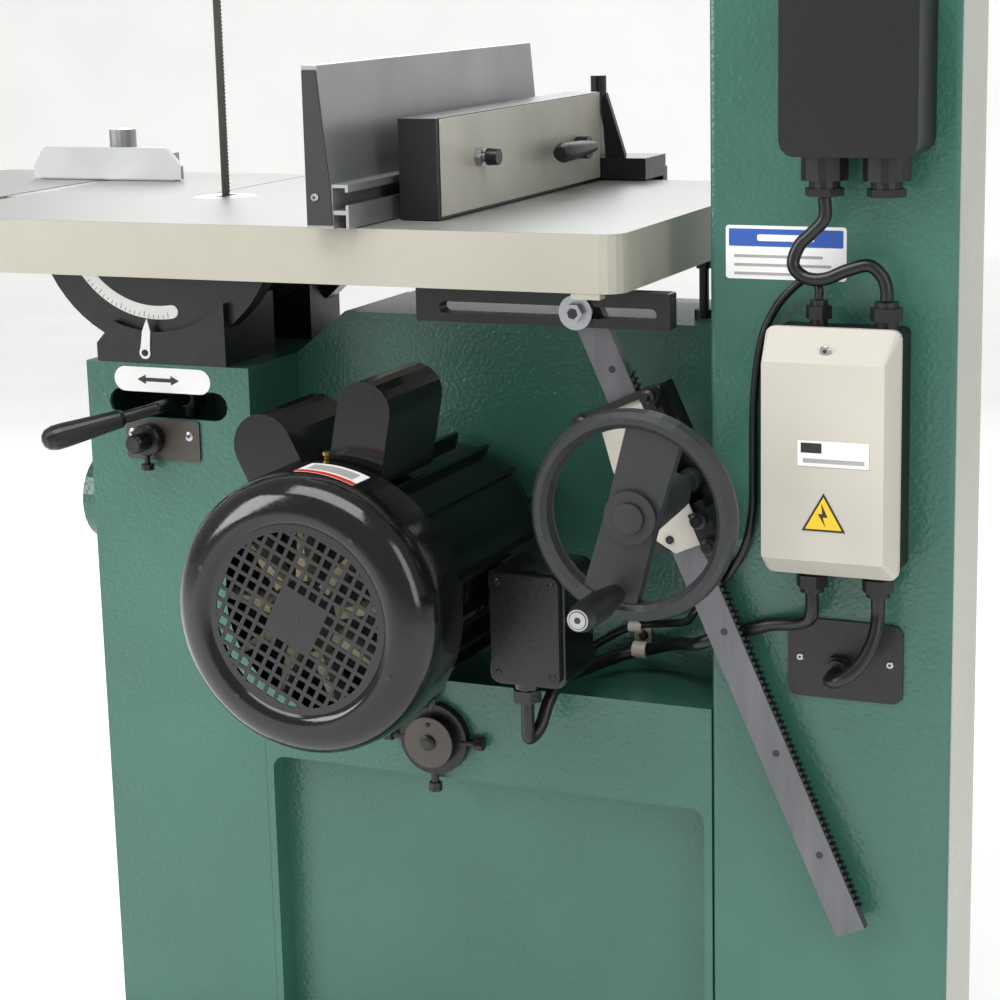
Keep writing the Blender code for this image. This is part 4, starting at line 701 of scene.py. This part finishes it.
def fanCover():
    # a closed ring: the wall's outside and inside profiles turned about the motor's axis, radius * (cos, sin)
    axis = motorSettings["axis"]
    profile = np.array(motorSettings["coverOutside"] + motorSettings["coverInside"])
    angles = np.linspace(0, 2 * math.pi, 96, endpoint=False)
    rows, steps = len(profile), len(angles)
    points = np.zeros((rows, steps, 3))
    points[..., 0] = axis[0] + profile[:, :1] * np.cos(angles)
    points[..., 2] = axis[1] + profile[:, :1] * np.sin(angles)
    points[..., 1] = profile[:, 1:]
    ids = np.arange(rows * steps).reshape(rows, steps)
    after = np.roll(ids, -1, 0)
    quads = np.stack([ids, np.roll(ids, -1, 1), np.roll(after, -1, 1), after], -1).reshape(-1, 4)
    cover = addPiece("fan cover", points.reshape(-1, 3), list(quads), "black_paint", "machine", True)
    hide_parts("motor_fan_cover")


def fanPieces():
    size = motorSettings
    axis = size["axis"]
    turnedPiece("fan grille", [(90.5, 404.8), (90.5, 406.2)], "y", axis, "grille", "machine", 64)
    turnedPiece("fan disc", [(84, 352), (84, 358), (40, 372), (20, 374)], "y", axis, "ink", "motor_rotor")
    vane = np.array(size["vane"], float)
    for index in range(size["vanes"]):
        turn = 2 * math.pi * index / size["vanes"]
        x = vane[:, 0] * math.cos(turn) - vane[:, 1] * math.sin(turn)
        z = vane[:, 0] * math.sin(turn) + vane[:, 1] * math.cos(turn)
        outline = np.stack([x, z], 1) + np.array(axis)
        slab(f"fan vane {index}", outline, "y", 358, 392, "copper", "motor_rotor")
    turnedPiece("fan cover middle hole", [(3.2, 406.2), (3.2, 406.5)], "y", axis, "ink", "machine", 16)
    for x, z in size["screws"]:
        spot = (axis[0] + x * 1.02, axis[1] + z * 1.02)
        turnedPiece(f"fan cover screw {x}", [(3.4, 408), (3.4, 411.6)], "y", spot, "ink", "machine", 14)


def motorLabels():
    axis = motorSettings["axis"]
    for name, radius, low, high, look, start, end in motorSettings["labels"]:
        turn = np.radians(np.linspace(start, end, 12))
        back = turn[::-1]
        inner = radius - 0.4
        outline = list(zip(axis[0] + radius * np.cos(turn), axis[1] + radius * np.sin(turn)))
        outline += list(zip(axis[0] + inner * np.cos(back), axis[1] + inner * np.sin(back)))
        slab(name, outline, "y", low, high, look, "machine")


fanCover()
fanPieces()
motorLabels()


trimSettings = {
    "lid": roundedBox((-482, -412), (-432, -326), 8),
    "lidFace": 246,
    "lidScrews": ((-475, -334), (-419, -334), (-475, -424), (-419, -424)),
    "tieScrew": [(3.2, -222), (3.2, -206), (5, -205), (5, -202)],
}


def motorTrim():
    size = trimSettings
    slab("terminal lid", size["lid"], "y", 240.3, size["lidFace"], "cast_iron", "machine")
    for x, z in size["lidScrews"]:
        screw(f"terminal lid screw {x} {-z}", (x, z), size["lidFace"], 3.5, "blackened_steel", "machine", 1.5)
    turnedPiece("capacitor tie screw", size["tieScrew"], "z", (-282, 318), "brass", "machine", 12)


motorTrim()


noticeSettings = {
    "sheet": roundedBox((-734, -620), (-49, 0), 3),
    "band": roundedBox((-731, -623), (-19, -3), 1),
    "word": roundedBox((-704, -650), (-14, -8), 2),
    "lines": ((-712, -28), (-720, -36), (-706, -44)),  # end away from the blade, and height, of each grey line
    "plateScrews": ((-779, -404), (-693, -404)),
}


def noticeLabel():
    size = noticeSettings
    slab("notice label", size["sheet"], "y", wallY + 0.1, wallY + 0.35, "white", "machine")
    slab("notice label band", size["band"], "y", wallY + 0.4, wallY + 0.5, "blue", "machine")
    for index, (x, z) in enumerate(size["lines"]):
        line = roundedBox((x, -628), (z - 1.3, z + 1.3), 1)
        slab(f"notice line {index}", line, "y", wallY + 0.4, wallY + 0.5, "grey_print", "machine")
    slab("notice word", size["word"], "y", wallY + 0.52, wallY + 0.6, "white", "machine")
    for spot in size["plateScrews"]:
        screw(f"cable plate screw {spot[0]}", spot, wallY + 3.4, 3.6, "steel", "machine", 1.6)


noticeLabel()


starterSettings = {
    "face": 240.9,
    "label": [(-778, -203), (-713, -203), (-713, -180), (-778, -180)],
    "mark": [(-735, -191), (-716, -191), (-716, -182), (-735, -182)],
    "line": [(-774, -200), (-718, -200), (-718, -196), (-774, -196)],
    "triangle": [(-757, -262), (-717, -262), (-737, -227)],
    "flash": [(-735, -236), (-741, -249), (-736.5, -249), (-739, -258), (-732, -246), (-736, -246)],
}


def starterLabels():
    size = starterSettings
    front = size["face"]
    slab("starter label", size["label"], "y", front, front + 0.3, "white", "machine")
    slab("starter label mark", size["mark"], "y", front + 0.35, front + 0.45, "ink", "machine")
    slab("starter label line", size["line"], "y", front + 0.35, front + 0.45, "grey_print", "machine")
    outer = np.array(size["triangle"], float)
    centre = outer.mean(0)
    inner = centre + (outer - centre) * 0.84
    slab("starter triangle edge", outer, "y", front, front + 0.25, "ink", "machine")
    slab("starter triangle", inner, "y", front + 0.3, front + 0.4, "yellow", "machine")
    slab("starter triangle bolt", size["flash"], "y", front + 0.45, front + 0.55, "ink", "machine")
    screw("starter cover screw", (-735, -101), 231, 5, "steel", "machine", 2)


starterLabels()


clipSettings = {
    "clips": (("upper clip", (-492, 66, -420), 5.6), ("lower clip", (-500, 75, -441), 8.4)),
    "halfLength": 7,
    "strap": roundedBox((-505, -487), (-446, -418), 4),
}


def clipPieces():
    angles = np.radians(np.linspace(0, 360, 25))[:-1]
    half = clipSettings["halfLength"]
    for name, (x, y, z), radius in clipSettings["clips"]:
        outline = list(zip(y + radius * np.cos(angles), z + radius * np.sin(angles)))
        slab(name, outline, "x", x - half, x + half, "cream_plate", "machine")
    slab("clip strap", clipSettings["strap"], "y", 54.3, 57, "cream_plate", "machine")
    screw("clip screw", (-497, -431), 57, 5, "blackened_steel", "machine", 4)


clipPieces()


fenceSettings = {
    "bolt": (100, 54),
    "clamp": (-160, 42),
    "plate": [(-228, 4), (183, 4), (183, 96), (-228, 96)],
    "gusset": [(-372, 2), (-351, 2), (-346, 90), (-351, 96), (-372, 30)],
    "grip": [(6, -154), (9, -120), (10.5, -70), (7, -60)],
    "endCap": [(-249, 4), (-249, 147), (-263, 147), (-274, 42), (-275, 4)],
    "endFace": 277.6,
}


def fencePieces():
    size = fenceSettings
    head = [(8, -368), (8.5, -358), (8.5, -356)]
    turnedPiece("fence bolt", [(5, -357), (5, -338)], "x", size["bolt"], "steel", "fence", 16)
    turnedPiece("fence bolt head", head, "x", size["bolt"], "blackened_steel", "fence", 16)
    slab("fence bolt nut", hexagon(size["bolt"], 10), "x", -352, -344.5, "steel", "fence")
    slab("fence plate", size["plate"], "x", -345.2, -343.3, "cream_plate", "fence")
    slab("fence gusset", size["gusset"], "y", -240, -233, "blackened_steel", "fence")
    hub = [(12, -360), (12, -346)]
    turnedPiece("fence clamp hub", hub, "x", size["clamp"], "blackened_steel", "fence", 20)
    turnedPiece("fence clamp grip", size["grip"], "y", (-366, 44), "black_plastic", "fence", 20)
    slab("fence end cap", size["endCap"], "y", 276.1, size["endFace"], "ink", "fence")
    screw("fence end screw", (-258, 30), size["endFace"], 4, "steel", "fence", 2)


fencePieces()


bladeSettings = {"teeth": 60, "pitch": 4.0, "firstTooth": 2.0, "root": -6.8, "tip": -9.4, "inside": -6.0}


def bladeTeeth():
    size = bladeSettings
    start, count = size["firstTooth"], size["teeth"]
    z = np.arange(count)[:, None] * size["pitch"] + np.array([0.0, 3.0])[None, :] + start
    y = np.tile(np.array([size["root"], size["tip"]]), (count, 1))
    top = start + count * size["pitch"]
    outline = [(size["inside"], start - 1)] + list(zip(y.ravel(), z.ravel()))
    outline += [(size["root"], top), (size["inside"], top + 1)]
    slab("teeth above the table", outline, "x", -0.55, 0.55, "oiled_steel", "machine")


bladeTeeth()


adjusterSettings = {"axis": (-310.9, -527), "face": 182.05, "radius": 26.4, "rimScrew": (-310.9, -508)}


def adjusterPieces():
    spot, face = adjusterSettings["axis"], adjusterSettings["face"]
    disc = [(adjusterSettings["radius"], face), (adjusterSettings["radius"], 182.6)]
    turnedPiece("adjuster face", disc, "y", spot, "oiled_steel", "machine", 40)
    hub = [(8, 182.7), (8, 185), (6, 186)]
    turnedPiece("adjuster centre", hub, "y", spot, "blackened_steel", "machine", 16)
    slab("adjuster socket", hexagon(spot, 4), "y", 186, 186.3, "ink", "machine")
    screw("adjuster rim screw", adjusterSettings["rimScrew"], 182.7, 2.4, "blackened_steel", "machine", 1.5)


adjusterPieces()
print("pieces ready")


stageSettings = {"reach": 14.0, "level": -0.002, "backdropY": -7, "backdropTop": 9, "glow": 0.3}


def makeStage():
    size = stageSettings
    material, shader, spot = newMaterial("pale floor")
    tone = noise(spot, 3.0).fade(0.3, 0.7).mix(colour(0.88, 0.88, 0.87), colour(0.92, 0.92, 0.91))
    feed(shader, spot, {
        "Base Color": tone,
        "Roughness": 0.8,
        "Emission Color": tone,
        "Emission Strength": size["glow"],
    })
    reach, level, behind, top = size["reach"], size["level"], size["backdropY"], size["backdropTop"]
    corners = {
        "floor": [(-reach, -reach, level), (reach, -reach, level),
                  (reach, reach, level), (-reach, reach, level)],
        "backdrop": [(-reach, behind, level), (-reach, behind, top),
                     (reach, behind, top), (reach, behind, level)],
    }
    for name, points in corners.items():
        mesh = bpy.data.meshes.new(name)
        mesh.from_pydata(points, [], [(0, 1, 2, 3)])
        mesh.materials.append(material)
        sheet = bpy.data.objects.new(name, mesh)
        bpy.context.scene.collection.objects.link(sheet)


makeStage()
print("floor ready")
